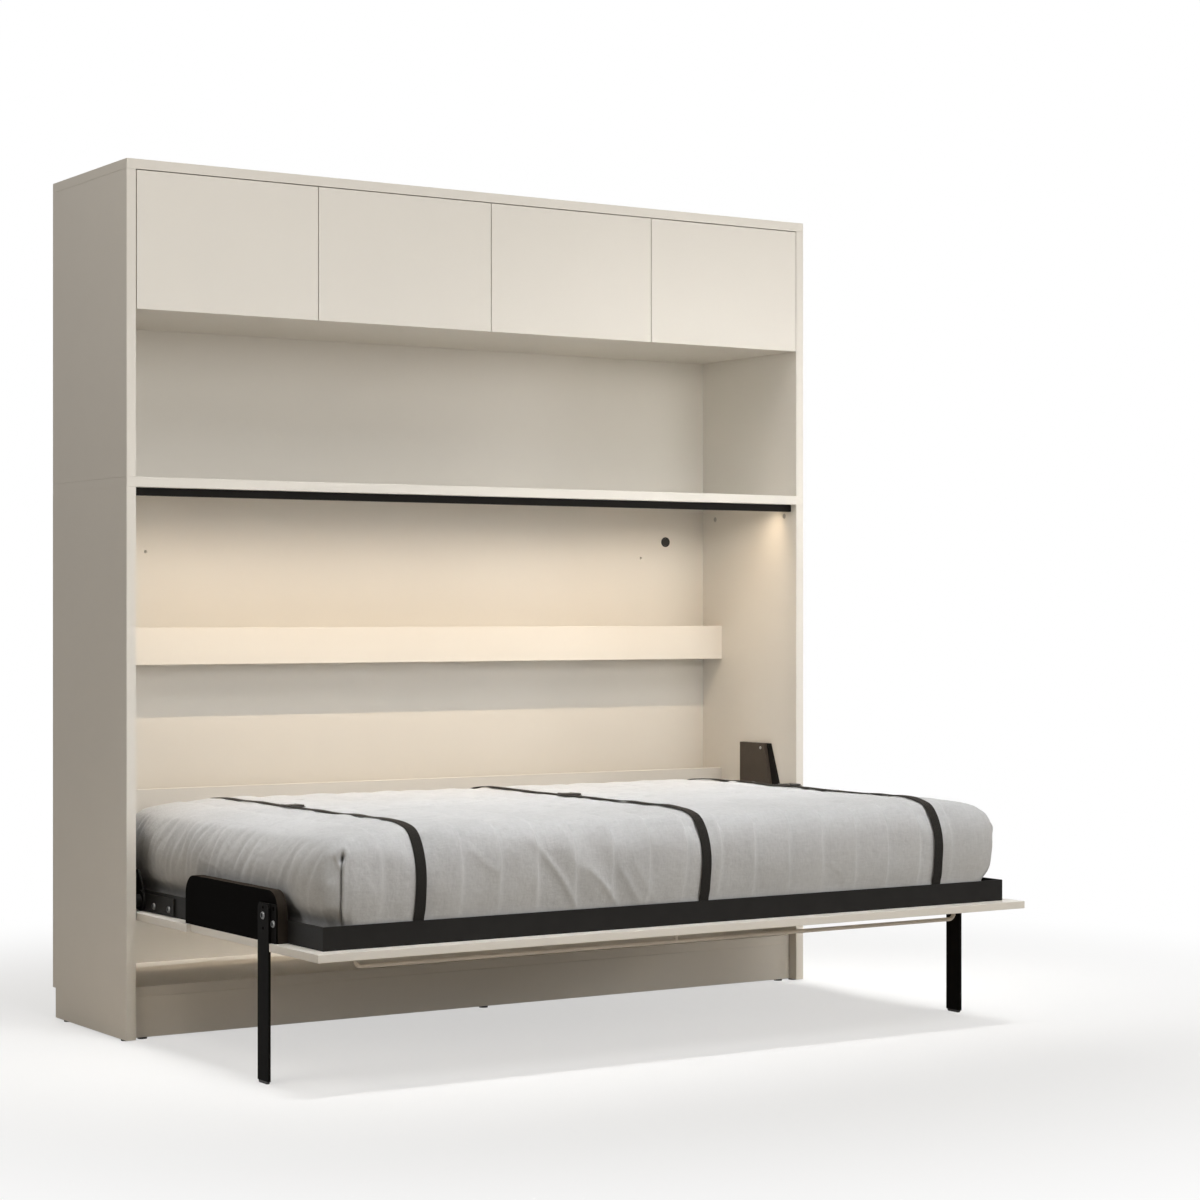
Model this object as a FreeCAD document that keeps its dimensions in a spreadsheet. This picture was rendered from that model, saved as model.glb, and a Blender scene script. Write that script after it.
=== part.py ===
import FreeCAD, Part
import math
import os
import re

import Sketcher
from FreeCAD import Placement, Rotation, Vector

# Horizontal wall bed, open. +Z is up, +X runs to the right along the cabinet's front and +Y into the wall.
# The origin lies on the floor, under the middle of the whole object's box with the bed let down.

# Driving dimensions, in millimetres
SIZES = {
    # cabinet boards
    "cabinet_width": 2108,
    "cabinet_depth": 492,
    "cabinet_height": 2200,
    "board": 25,
    "lower_side_height": 1381,
    "overhead_height": 374,
    "back_setback": 21,
    "back_thickness": 18,
    "skirting_depth": 20,
    "skirting_height": 78,
    "kick_setback": 33,
    "kick_height": 102,
    "kick_thickness": 18,
    # floor glides
    "glide_height": 4,
    "glide_radius": 12,
    "glide_front": 35,
    "glide_rear": 413,
    # ledges behind the bed
    "ledge_depth": 98,
    "ledge_board": 18,
    "lip_height": 99,
    "lip_thickness": 18,
    "upper_ledge_height": 928,
    "lower_ledge_height": 500,
    # beam and light under the middle board
    "beam_setback": 25,
    "beam_height": 20,
    "beam_depth": 20,
    "light_setback": 60,
    "light_width": 18,
    "light_depth": 9,
    "light_end_gap": 30,
    "profile_wall": 1.5,
    "diffuser_thickness": 2,
    # light switch on the back panel
    "switch_side_gap": 140,
    "switch_drop": 101,
    "switch_hole_radius": 12.5,
    "bezel_radius": 14.8,
    "bezel_flange": 2.5,
    "bezel_wall": 1.5,
    "button_stand": 2.2,
    "button_travel": 2,
    # cam fasteners
    "cam_radius": 7.5,
    "cam_depth": 12,
    "cam_drop": 32,
    "cam_front": 59,
    "cam_rear": 408,
    # wall fixing
    "fixing_rail_height": 80,
    "fixing_rail_thickness": 18,
    "fixing_hole_radius": 4,
    "fixing_side_gap": 229,
    "lower_fixing_drop": 150,
    # overhead doors
    "door_thickness": 19,
    "door_gap": 2.5,
    "door_back_gap": 2,
    "cup_radius": 17.5,
    "cup_depth": 11.5,
    "cup_edge_gap": 5,
    "cup_inset": 70,
    "cup_ear_height": 52,
    "cup_ear_width": 12,
    "cup_ear_thickness": 1.5,
    "arm_length": 62,
    "arm_width": 9,
    "arm_height": 14,
    "arm_plate_length": 32,
    "arm_plate_height": 48,
    "arm_plate_thickness": 3,
    # push latches
    "latch_length": 58,
    "latch_width": 14,
    "latch_height": 16,
    "latch_wall": 2.5,
    "latch_travel": 3,
    "plunger_radius": 4,
    "plunger_length": 46,
    "latch_side_gap": 24,
    # bed pivot and face panel
    "pivot_height": 343.5,
    "pivot_inset": 45,
    "pivot_pin_radius": 8,
    "panel_thickness": 18.5,
    "panel_top_gap": 3,
    "panel_end_gap": 4,
    "panel_foot_gap": 11,
    "notch_depth": 11,
    "notch_front": 243.5,
    "notch_rear_in": 32,
    # bed frame
    "bed_side_gap": 40,
    "frame_front_inset": 46,
    "frame_rear_inset": 4.5,
    "frame_height": 54,
    "frame_wall": 3,
    "frame_flange": 35,
    "cross_bar_width": 40,
    "slat_width": 68,
    "slat_thickness": 9,
    "slat_gap": 66,
    # side guards with the folding legs
    "guard_thickness": 25,
    "guard_arm_gap": 117,
    "guard_height": 119,
    "guard_radius": 47,
    "guard_front_inset": 175.5,
    "bracket_thickness": 3.5,
    "bracket_length": 91,
    "bracket_height": 89,
    "bracket_front_gap": 2,
    "bracket_corner": 5,
    "bracket_hole_radius": 5,
    "leg_width": 56,
    "leg_thickness": 6,
    "leg_top": 28,
    "leg_corner": 9,
    "leg_pivot_front": 56,
    "leg_pivot_height": 61,
    "leg_bolt_radius": 5,
    "leg_bolt_head_radius": 9,
    "leg_bolt_head_height": 3,
    "leg_hole_radius": 3.5,
    "leg_hole_above": 18,
    "leg_hole_below": 29,
    "foot_height": 6,
    "foot_inset": 5,
    "foot_corner": 3,
    # hinge arms and their bolts
    "arm_thickness": 5,
    "arm_reach": 193,
    "arm_band_low": 23.5,
    "arm_band_high": 19.5,
    "arm_boss_radius": 26,
    "arm_boss_height": 6,
    "crank_back": 40,
    "crank_rise": 60,
    "crank_edge": 15,
    "crank_stud_radius": 8,
    "arm_bolt_near": 77,
    "arm_bolt_far": 167,
    "arm_bolt_drop": 8.5,
    "bed_bolt_radius": 4,
    "bed_bolt_head_radius": 8.5,
    "bed_bolt_head_height": 4,
    "bed_bolt_socket_radius": 3,
    # lift mechanism on the cabinet's sides
    "plate_thickness": 4,
    "plate_top": 338.5,
    "plate_rear": 214,
    "plate_bottom": 43.5,
    "plate_front_top": 76,
    "plate_front_low": 37,
    "plate_rear_low": 106.5,
    "plate_foot_rear": 65,
    "cover_front_top": 94,
    "cover_front_low": 35,
    "cover_bottom": 70,
    "cover_depth": 11,
    "cover_wall": 1.5,
    "ear_bolt_front": 84,
    "ear_bolt_height": 329,
    # gas struts
    "strut_anchor_back": 95,
    "strut_anchor_rise": 205,
    "strut_stud_radius": 5,
    "strut_eye_radius": 9,
    "strut_eye_thickness": 10,
    "cylinder_radius": 9,
    "cylinder_wall": 1.5,
    "strut_rod_radius": 4,
    "strut_end_gap": 6,
    # mattress, straps and buckles
    "mattress_height": 254,
    "mattress_end_gap": 39,
    "mattress_front_gap": 3,
    "mattress_rear_gap": 21.5,
    "mattress_corner": 70,
    "mattress_bulge": 19,
    "strap_width": 28,
    "strap_thickness": 2,
    "strap_left_in": 201,
    "strap_middle_aside": 41,
    "strap_right_in": 179,
    "strap_tuck": 10,
    "buckle_length": 62,
    "buckle_width": 42,
    "buckle_thickness": 7,
    "buckle_window": 9,
    "buckle_behind": 78,
    # pull rail under the panel
    "pull_inset": 109,
    "pull_radius": 5,
    "pull_drop": 29,
    "pull_bend": 16,
    "pull_end_gap": 143,
    "pull_foot_radius": 9,
    "pull_foot_height": 3,
    # clearances
    "running_gap": 0.1,
    "seat_gap": 0.3,
    "cut_overrun": 2,
}

# The mattress from the slats up: heights as shares of its height, and its swell as shares of its bulge
MATTRESS_RISE_SHARES = (0, 0.05, 0.18, 0.27, 0.42, 0.62, 0.80, 0.90, 0.955, 0.985, 1)
MATTRESS_SWELL_SHARES = (-0.7, -0.1, 0, 0.45, 1.0, 1.0, 0.65, -0.1, -1.3, -3.2, -8)

# Places that follow from the sizes, in the same millimetres
PLACES = {
    # cabinet
    "inner": "cabinet_width / 2 - board",
    "floor_top": "glide_height + kick_height + board",
    "middle_low": "glide_height + lower_side_height",
    "middle_top": "glide_height + lower_side_height + board",
    "top_low": "glide_height + cabinet_height - board",
    # bed pivot and face panel
    "reach": "lower_side_height - panel_top_gap - pivot_height - pivot_inset",
    "front": "(reach - cabinet_depth) / 2",
    "back": "front + cabinet_depth - back_setback",
    "pivot_y": "front + pivot_inset",
    "pivot_z": "glide_height + pivot_height",
    "panel_low": "pivot_z - pivot_inset",
    "panel_top": "panel_low + panel_thickness",
    "panel_front": "front - reach",
    "panel_rear": "pivot_y + pivot_z - floor_top - panel_foot_gap",
    # bed frame
    "frame_half": "inner - bed_side_gap",
    "frame_front": "panel_front + frame_front_inset",
    "frame_rear": "panel_rear - frame_rear_inset",
    "frame_top": "panel_top + frame_height",
    # side guards, brackets and legs
    "guard_front": "frame_front + guard_front_inset",
    "guard_length": "pivot_y - arm_reach - guard_arm_gap - guard_front",
    "notch_length": "guard_front + guard_length - notch_rear_in - panel_front - notch_front",
    "leg_y": "guard_front + leg_pivot_front",
    "leg_z": "panel_top + leg_pivot_height",
    # overhead compartments, their doors and latches
    "inside_front": "front + door_thickness + door_back_gap",
    "overhead_low": "glide_height + cabinet_height - overhead_height",
    "overhead_floor_top": "overhead_low + board",
    # wall fixing and light switch
    "upper_fixing_z": "top_low - fixing_rail_height / 2",
    "lower_fixing_z": "middle_low - lower_fixing_drop",
    "fixing_x": "inner - fixing_side_gap",
    "switch_x": "inner - switch_side_gap",
    "switch_z": "middle_low - switch_drop",
    "door_seam": "inner - (2 * inner - board) / 4",
    "door_height": "top_low - door_gap - overhead_low",
    "latch_front": "inside_front + latch_travel",
    "latch_z": "overhead_floor_top + latch_height / 2",
    "plunger_front": "front + door_thickness + seat_gap",
    "panel_width": "2 * (inner - panel_end_gap)",
    "panel_depth": "panel_rear - panel_front",
    "frame_depth": "frame_rear - frame_front",
    "slat_low": "panel_top + frame_wall",
    "slat_pitch": "slat_width + slat_gap",
    "mattress_length": "2 * (frame_half - frame_wall - mattress_end_gap)",
    "mattress_width": "frame_depth - 2 * frame_wall - mattress_front_gap - mattress_rear_gap",
    "bracket_y": "guard_front + bracket_front_gap",
    "leg_offset": "bed_side_gap - guard_thickness - bracket_thickness - seat_gap - leg_thickness",
    "leg_length": "leg_z - foot_height",
    "fixed_bolt_y": "bracket_y + (leg_y - leg_width / 2 - bracket_y) / 2",
    "fixed_bolt_z": "panel_top + bracket_height / 2",
    # hinge arms and gas struts
    "arm_offset": "bed_side_gap - arm_thickness",
    "strut_middle": "(plate_thickness + cover_depth + bed_side_gap - arm_thickness) / 2",
    "stud_offset": "strut_middle + strut_eye_thickness / 2 + seat_gap",
    "anchor_y": "pivot_y + strut_anchor_back",
    "anchor_z": "pivot_z + strut_anchor_rise",
    # pull rail
    "pull_y": "panel_front + pull_inset",
    "pull_z": "panel_low - pull_drop",
    "pull_half": "inner - panel_end_gap - pull_end_gap - pull_radius",
}

doc = FreeCAD.newDocument("wall_bed")
sheet = doc.addObject("Spreadsheet::Sheet", "Sizes")
places = doc.addObject("App::VarSet", "Places")
probe = doc.addObject("App::VarSet", "Probe")
probe.addProperty("App::PropertyFloat", "value")
owner = {}
subparts = []

for row, (alias, number) in enumerate(SIZES.items(), start=1):
    sheet.set(f"A{row}", alias)
    sheet.set(f"B{row}", str(number))
    sheet.setAlias(f"B{row}", alias)
    owner[alias] = "Sizes"
for name in PLACES:
    places.addProperty("App::PropertyFloat", name)
    owner[name] = "Places"


def linked(expression):
    """An expression in plain names, with each name led to the sheet or to the derived places"""
    return re.sub(r"[a-z_]+", lambda word: owner[word.group()] + "." + word.group(), expression)


for name, expression in PLACES.items():
    places.setExpression(name, linked(expression))
doc.recompute()


def bind(item, **expressions):
    for name, expression in expressions.items():
        item.setExpression(name, linked(expression))


def place(item, x, y, z):
    item.setExpression(".Placement.Base.x", linked(x))
    item.setExpression(".Placement.Base.y", linked(y))
    item.setExpression(".Placement.Base.z", linked(z))
    return item


def keep(item, label):
    """Marks a finished sub-part: its label names its node and file"""
    item.Label = label
    subparts.append(item)
    return item


def box(x, y, z, width, depth, height):
    item = doc.addObject("Part::Box", "Block")
    bind(item, Length=width, Width=depth, Height=height)
    return place(item, x, y, z)


TURNS = {"x": Rotation(Vector(0, 1, 0), 90), "y": Rotation(Vector(1, 0, 0), -90), "z": Rotation()}


def cylinder(axis, x, y, z, radius, length):
    """A round bar from its low end, along one of the axes"""
    item = doc.addObject("Part::Cylinder", "Round")
    item.Placement = Placement(Vector(), TURNS[axis])
    bind(item, Radius=radius, Height=length)
    return place(item, x, y, z)


def fuse(*pieces):
    item = doc.addObject("Part::MultiFuse", "Joined")
    item.Shapes = list(pieces)
    return item


def group(*pieces):
    item = doc.addObject("Part::Compound", "Group")
    item.Links = list(pieces)
    return item


def cut(base, *tools):
    item = doc.addObject("Part::Cut", "Cut")
    item.Base = base
    item.Tool = tools[0] if len(tools) == 1 else fuse(*tools)
    return item


def here(expression):
    """The value that an expression has now"""
    probe.setExpression("value", linked(expression))
    probe.recompute()
    return probe.value


def outline(plane, corners, thickness, x, y, z):
    """A plate with a straight-sided outline: each corner is dimensioned from the plate's own corner"""
    body = doc.addObject("PartDesign::Body", "Plate")
    sketch = body.newObject("Sketcher::SketchObject", "Outline")
    origin_plane = next(item for item in body.Origin.OriginFeatures if item.Role == plane)
    sketch.AttachmentSupport = (origin_plane, "")
    sketch.MapMode = "FlatFace"
    points = [Vector(here(across), here(up), 0) for across, up in corners]
    count = len(points)
    for index in range(count):
        sketch.addGeometry(Part.LineSegment(points[index], points[(index + 1) % count]), False)
    for index in range(count):
        sketch.addConstraint(Sketcher.Constraint("Coincident", index, 2, (index + 1) % count, 1))
    for index, corner in enumerate(corners):
        for kind, start, expression in zip(("DistanceX", "DistanceY"), points[index], corner):
            number = sketch.addConstraint(Sketcher.Constraint(kind, -1, 1, index, 1, start))
            if expression != "0":
                sketch.setExpression(f"Constraints[{number}]", linked(expression))
    pad = body.newObject("PartDesign::Pad", "Pad")
    pad.Profile = sketch
    bind(pad, Length=thickness)
    return place(body, x, y, z)


def solid(label, shape):
    """A sub-part whose shape is worked out here from the sheet's sizes"""
    item = doc.addObject("Part::Feature", "Shaped")
    item.Shape = shape
    item.Placement = Placement()
    return keep(item, label)


def number(name):
    return getattr(places, name) if owner[name] == "Places" else float(sheet.get(name))


def end_x(side, offset, length):
    """The low X of a piece that lies off a side panel's inner face, on the left or mirrored on the right"""
    return f"-inner + {offset}" if side == "left" else f"inner - ({offset}) - ({length})"


SIDES = ("left", "right")

# Lower side panels: boards with a notch at the foot for the room's skirting and two bores for cams
for side in SIDES:
    outer = "-cabinet_width / 2" if side == "left" else "inner"
    blank = box(outer, "front", "glide_height", "board", "cabinet_depth", "lower_side_height")
    notch = box(f"{outer} - cut_overrun", "front + cabinet_depth - skirting_depth",
                "glide_height - cut_overrun", "board + 2 * cut_overrun", "skirting_depth + cut_overrun",
                "skirting_height + cut_overrun")
    bores = [cylinder("x", end_x(side, "-cam_depth - seat_gap", "cam_depth + seat_gap + cut_overrun"),
                      f"front + {setback}", "middle_low - cam_drop", "cam_radius + running_gap",
                      "cam_depth + seat_gap + cut_overrun") for setback in ("cam_front", "cam_rear")]
    keep(cut(blank, notch, *bores), f"{side}_lower_side")

# Upper side panels, between the middle board and the top board
for side in SIDES:
    outer = "-cabinet_width / 2" if side == "left" else "inner"
    panel = box(outer, "front", "middle_top", "board", "cabinet_depth", "top_low - middle_top")
    keep(panel, f"{side}_upper_side")

# Middle board, with a groove for the light in its underside, and the top board
groove = box("-inner + light_end_gap", "front + light_setback", "middle_low - cut_overrun",
             "2 * (inner - light_end_gap)", "light_width", "light_depth + cut_overrun")
middle = box("-cabinet_width / 2", "front", "middle_low", "cabinet_width", "cabinet_depth", "board")
keep(cut(middle, groove), "middle_board")
keep(box("-cabinet_width / 2", "front", "top_low", "cabinet_width", "cabinet_depth", "board"), "top_board")

# Overhead compartments: their floor, and the partition between them
keep(box("-inner", "inside_front", "overhead_low", "2 * inner", "back - inside_front", "board"),
     "overhead_floor")
partition = box("-board / 2", "inside_front", "overhead_floor_top",
                "board", "back - inside_front", "top_low - overhead_floor_top")
rail_slot = box("-board", "back - fixing_rail_thickness", "top_low - fixing_rail_height",
                "2 * board", "fixing_rail_thickness + cut_overrun", "fixing_rail_height + cut_overrun")
keep(cut(partition, rail_slot), "overhead_partition")

# Wall fixing rail inside the overhead compartments, and the two back panels, with holes for the wall screws


def fixing_holes(y, z, length):
    return [cylinder("y", x, f"{y} - cut_overrun", z, "fixing_hole_radius", f"{length} + 2 * cut_overrun")
            for x in ("-fixing_x", "fixing_x")]


rail = box("-inner", "back - fixing_rail_thickness", "top_low - fixing_rail_height",
           "2 * inner", "fixing_rail_thickness", "fixing_rail_height")
rail_holes = fixing_holes("back - fixing_rail_thickness", "upper_fixing_z", "fixing_rail_thickness")
keep(cut(rail, *rail_holes), "wall_rail")
upper_back = box("-inner", "back", "middle_top", "2 * inner", "back_thickness", "top_low - middle_top")
keep(cut(upper_back, *fixing_holes("back", "upper_fixing_z", "back_thickness")), "upper_back_panel")

lower_back = box("-inner", "back", "glide_height + kick_height", "2 * inner", "back_thickness",
                 "middle_low - glide_height - kick_height")
switch_hole = cylinder("y", "switch_x", "back - cut_overrun", "switch_z", "switch_hole_radius",
                       "back_thickness + 2 * cut_overrun")
keep(cut(lower_back, switch_hole, *fixing_holes("back", "lower_fixing_z", "back_thickness")),
     "lower_back_panel")

# Bottom board on its kick board, both set back under the closed face panel
keep(box("-inner", "front + kick_setback", "glide_height + kick_height",
         "2 * inner", "back - front - kick_setback", "board"), "bottom_board")
keep(box("-inner", "front + kick_setback", "glide_height", "2 * inner", "kick_thickness", "kick_height"),
     "kick_board")

# Ledges: a shelf board with an upright lip in front, once above the mattress and once behind it
LEDGES = ("upper_ledge_height", "lower_ledge_height")
keep(group(*[box("-inner", "back - ledge_depth + lip_thickness", f"glide_height + {height}",
                 "2 * inner", "ledge_depth - lip_thickness", "ledge_board") for height in LEDGES]),
     "ledge_shelves")
keep(group(*[box("-inner", "back - ledge_depth", f"glide_height + {height}",
                 "2 * inner", "lip_thickness", "lip_height") for height in LEDGES]), "ledge_lips")

# Black beam that the closed bed stops behind, and the light let into the middle board
keep(box("-inner", "front + beam_setback", "middle_low - beam_height",
         "2 * inner", "beam_depth", "beam_height"), "front_beam")
channel = box("-inner + light_end_gap", "front + light_setback", "middle_low",
              "2 * (inner - light_end_gap)", "light_width", "light_depth")
channel_hollow = box("-inner + light_end_gap + profile_wall", "front + light_setback + profile_wall",
                     "middle_low - cut_overrun", "2 * (inner - light_end_gap - profile_wall)",
                     "light_width - 2 * profile_wall", "light_depth - profile_wall + cut_overrun")
keep(cut(channel, channel_hollow), "light_profile")
keep(box("-inner + light_end_gap + profile_wall", "front + light_setback + profile_wall", "middle_low",
         "2 * (inner - light_end_gap - profile_wall)", "light_width - 2 * profile_wall",
         "diffuser_thickness"), "light_diffuser")

# Light switch: a bezel let into the back panel and a round button that is pressed in
bezel = fuse(cylinder("y", "switch_x", "back - bezel_flange", "switch_z", "bezel_radius", "bezel_flange"),
             cylinder("y", "switch_x", "back - bezel_flange", "switch_z", "switch_hole_radius",
                      "bezel_flange + back_thickness"))
bezel_bore = cylinder("y", "switch_x", "back - bezel_flange - cut_overrun", "switch_z",
                      "switch_hole_radius - bezel_wall",
                      "bezel_flange + back_thickness - bezel_wall + cut_overrun")
keep(cut(bezel, bezel_bore), "light_switch_bezel")
keep(cylinder("y", "switch_x", "back - bezel_flange - button_stand", "switch_z",
              "switch_hole_radius - bezel_wall - seat_gap",
              "bezel_flange + button_stand + back_thickness - bezel_wall - button_travel - seat_gap"),
     "light_switch_button")

# Cam fasteners that draw the middle board down on the sides, and the glides that the cabinet stands on
keep(group(*[cylinder("x", end_x(side, "-cam_depth", "cam_depth"), f"front + {setback}",
                      "middle_low - cam_drop", "cam_radius", "cam_depth")
             for side in SIDES for setback in ("cam_front", "cam_rear")]), "cam_fasteners")
glide_spots = [(f"{sign}(inner + board / 2)", f"front + {setback}")
               for sign in ("-", "") for setback in ("glide_front", "glide_rear")]
glide_spots += [(x, "front + kick_setback + kick_thickness / 2")
                for x in ("-inner + glide_front", "0", "inner - glide_front")]
keep(group(*[cylinder("z", x, y, "0", "glide_radius", "glide_height") for x, y in glide_spots]), "glides")

# Overhead doors: four inset boards, hinged in pairs on the sides and on the partition
DOORS = {
    "far_left_door": ("-inner + door_gap", "-door_seam - door_gap / 2", "low"),
    "mid_left_door": ("-door_seam + door_gap / 2", "-door_gap / 2", "high"),
    "mid_right_door": ("door_gap / 2", "door_seam - door_gap / 2", "low"),
    "far_right_door": ("door_seam + door_gap / 2", "inner - door_gap", "high"),
}
CUP_HEIGHTS = ("overhead_low + cup_inset", "overhead_low + door_height - cup_inset")
hinge_arms = []
for label, (low_x, high_x, hinge_end) in DOORS.items():
    panel = box(low_x, "front", "overhead_low", f"{high_x} - ({low_x})", "door_thickness", "door_height")
    if hinge_end == "low":
        cup_x = f"{low_x} + cup_edge_gap + cup_radius"
    else:
        cup_x = f"{high_x} - cup_edge_gap - cup_radius"
    bores = [cylinder("y", cup_x, "front + door_thickness - cup_depth", height, "cup_radius + running_gap",
                      "cup_depth + cut_overrun") for height in CUP_HEIGHTS]
    keep(cut(panel, *bores), label)
    cups = []
    for height in CUP_HEIGHTS:
        pot = cylinder("y", cup_x, "front + door_thickness - cup_depth", height, "cup_radius", "cup_depth")
        ear = box(f"{cup_x} - cup_ear_width / 2", "front + door_thickness", f"{height} - cup_ear_height / 2",
                  "cup_ear_width", "cup_ear_thickness", "cup_ear_height")
        pocket = box(f"{cup_x} - arm_width / 2 - seat_gap",
                     "front + door_thickness - cup_depth + cup_ear_thickness",
                     f"{height} - arm_height / 2 - seat_gap", "arm_width + 2 * seat_gap",
                     "cup_depth + cut_overrun", "arm_height + 2 * seat_gap")
        cups.append(cut(fuse(pot, ear), pocket))
    keep(group(*cups), label.replace("door", "hinge_cups"))
    # The mounting plate and arm stand on the side or the partition, behind the door's back
    if label.startswith("far"):
        wall = "-inner" if hinge_end == "low" else "inner"
    else:
        wall = "board / 2" if hinge_end == "low" else "-board / 2"
    sign = "+" if hinge_end == "low" else "-"
    for height in CUP_HEIGHTS:
        plate_x = wall if sign == "+" else f"{wall} - arm_plate_thickness"
        arm_x = f"{wall} + arm_plate_thickness" if sign == "+" else f"{plate_x} - arm_width"
        plate = box(plate_x, "inside_front + arm_length - arm_plate_length",
                    f"{height} - arm_plate_height / 2", "arm_plate_thickness", "arm_plate_length",
                    "arm_plate_height")
        arm = box(arm_x, "inside_front + seat_gap", f"{height} - arm_height / 2", "arm_width", "arm_length",
                  "arm_height")
        hinge_arms.append(fuse(plate, arm))
keep(group(*hinge_arms), "door_hinge_arms")

# Push latches on the overhead floor, one behind the free edge of each door
LATCHES = {
    "far_left_plunger": "-door_seam - latch_side_gap - latch_width / 2",
    "mid_left_plunger": "-door_seam + latch_side_gap + latch_width / 2",
    "mid_right_plunger": "door_seam - latch_side_gap - latch_width / 2",
    "far_right_plunger": "door_seam + latch_side_gap + latch_width / 2",
}
housings = []
for label, x in LATCHES.items():
    case = box(f"{x} - latch_width / 2", "latch_front", "overhead_floor_top", "latch_width", "latch_length",
               "latch_height")
    bore = cylinder("y", x, "latch_front - cut_overrun", "latch_z", "plunger_radius + running_gap",
                    "latch_length - latch_wall + cut_overrun")
    housings.append(cut(case, bore))
    keep(cylinder("y", x, "plunger_front", "latch_z", "plunger_radius", "plunger_length"), label)
keep(group(*housings), "push_latch_housings")

# Face panel: one board, cut back at both ends where the folding legs pass
PANEL_CORNERS = (
    ("0", "0"),
    ("panel_width", "0"),
    ("panel_width", "notch_front"),
    ("panel_width - notch_depth", "notch_front"),
    ("panel_width - notch_depth", "notch_front + notch_length"),
    ("panel_width", "notch_front + notch_length"),
    ("panel_width", "panel_depth"),
    ("0", "panel_depth"),
    ("0", "notch_front + notch_length"),
    ("notch_depth", "notch_front + notch_length"),
    ("notch_depth", "notch_front"),
    ("0", "notch_front"),
)
keep(outline("XY_Plane", PANEL_CORNERS, "panel_thickness", "-inner + panel_end_gap", "panel_front",
             "panel_low"), "face_panel")

# Bed frame: steel angles, the long ones with an inward flange that carries the slats
long_walls = []
for wall_y, flange_y in (("frame_front", "frame_front"),
                         ("frame_rear - frame_wall", "frame_rear - frame_flange")):
    upright = box("-frame_half", wall_y, "panel_top", "2 * frame_half", "frame_wall", "frame_height")
    flange = box("-frame_half + frame_wall", flange_y, "panel_top", "2 * (frame_half - frame_wall)",
                 "frame_flange", "frame_wall")
    long_walls.append(fuse(upright, flange))
keep(group(*long_walls), "frame_long_rails")
end_walls = []
for side in SIDES:
    upright = box(end_x(side, "bed_side_gap", "frame_wall"), "frame_front + frame_wall", "panel_top",
                  "frame_wall", "frame_depth - 2 * frame_wall", "frame_height")
    flange = box(end_x(side, "bed_side_gap", "frame_flange"), "frame_front + frame_flange", "panel_top",
                 "frame_flange", "frame_depth - 2 * frame_flange", "frame_wall")
    end_walls.append(fuse(upright, flange))
keep(group(*end_walls), "frame_end_rails")
keep(group(*[box(f"{x} - cross_bar_width / 2", "frame_front + frame_flange", "panel_top",
                 "cross_bar_width", "frame_depth - 2 * frame_flange", "frame_wall")
             for x in ("-frame_half / 2", "0", "frame_half / 2")]), "frame_cross_bars")

# Slats from the front rail to the rear rail
slat_room = 2 * (number("frame_half") - number("frame_wall")) - number("slat_gap")
slat_count = int(slat_room // number("slat_pitch"))
keep(group(*[box(f"slat_pitch * {index} - slat_pitch * {slat_count - 1} / 2 - slat_width / 2",
                 "frame_front + frame_wall + seat_gap", "slat_low", "slat_width",
                 "frame_depth - 2 * (frame_wall + seat_gap)", "slat_thickness")
             for index in range(slat_count)]), "slats")

# Side guards: painted boards with rounded top corners on the frame's ends
GUARD_CORNERS = (("0", "0"), ("guard_length", "0"), ("guard_length", "guard_height"), ("0", "guard_height"))
guards = []
for side in SIDES:
    body = outline("YZ_Plane", GUARD_CORNERS, "guard_thickness",
                   end_x(side, "bed_side_gap - guard_thickness", "guard_thickness"), "guard_front",
                   "panel_top")
    doc.recompute()
    pad = body.Tip
    middle_z = pad.Shape.BoundBox.Center.z
    top_edges = [f"Edge{index}" for index, edge in enumerate(pad.Shape.Edges, start=1)
                 if edge.BoundBox.XLength > edge.BoundBox.YLength and edge.BoundBox.ZMin > middle_z]
    rounding = body.newObject("PartDesign::Fillet", "Rounding")
    rounding.Base = (pad, top_edges)
    bind(rounding, Radius="guard_radius")
    guards.append(body)
keep(group(*guards), "side_guards")

# Leg brackets on the guards, and the folding legs with their feet
BRACKET_CORNERS = (
    ("0", "0"),
    ("bracket_length", "0"),
    ("bracket_length", "bracket_height - bracket_corner"),
    ("bracket_length - bracket_corner", "bracket_height"),
    ("bracket_corner", "bracket_height"),
    ("0", "bracket_height - bracket_corner"),
)
LEG_CORNERS = (
    ("0", "0"),
    ("leg_width", "0"),
    ("leg_width", "leg_length + leg_top - leg_corner"),
    ("leg_width - leg_corner", "leg_length + leg_top"),
    ("leg_corner", "leg_length + leg_top"),
    ("0", "leg_length + leg_top - leg_corner"),
)
FOOT_CORNERS = (
    ("foot_corner", "0"),
    ("leg_width - 2 * foot_inset - foot_corner", "0"),
    ("leg_width - 2 * foot_inset", "foot_corner"),
    ("leg_width - 2 * foot_inset", "foot_height"),
    ("0", "foot_height"),
    ("0", "foot_corner"),
)
brackets = []
for side in SIDES:
    bracket_x = end_x(side, "bed_side_gap - guard_thickness - bracket_thickness", "bracket_thickness")
    plate = outline("YZ_Plane", BRACKET_CORNERS, "bracket_thickness", bracket_x, "bracket_y", "panel_top")
    bore_x = end_x(side, "bed_side_gap - guard_thickness - bracket_thickness - cut_overrun",
                   "bracket_thickness + 2 * cut_overrun")
    bores = [cylinder("x", bore_x, y, z, radius, "bracket_thickness + 2 * cut_overrun") for y, z, radius in (
        ("leg_y", "leg_z", "leg_bolt_radius"),
        ("fixed_bolt_y", "fixed_bolt_z", "bed_bolt_radius"),
        ("fixed_bolt_y", "leg_z + leg_hole_above", "bracket_hole_radius"))]
    brackets.append(cut(plate, *bores))
keep(group(*brackets), "leg_brackets")
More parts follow.
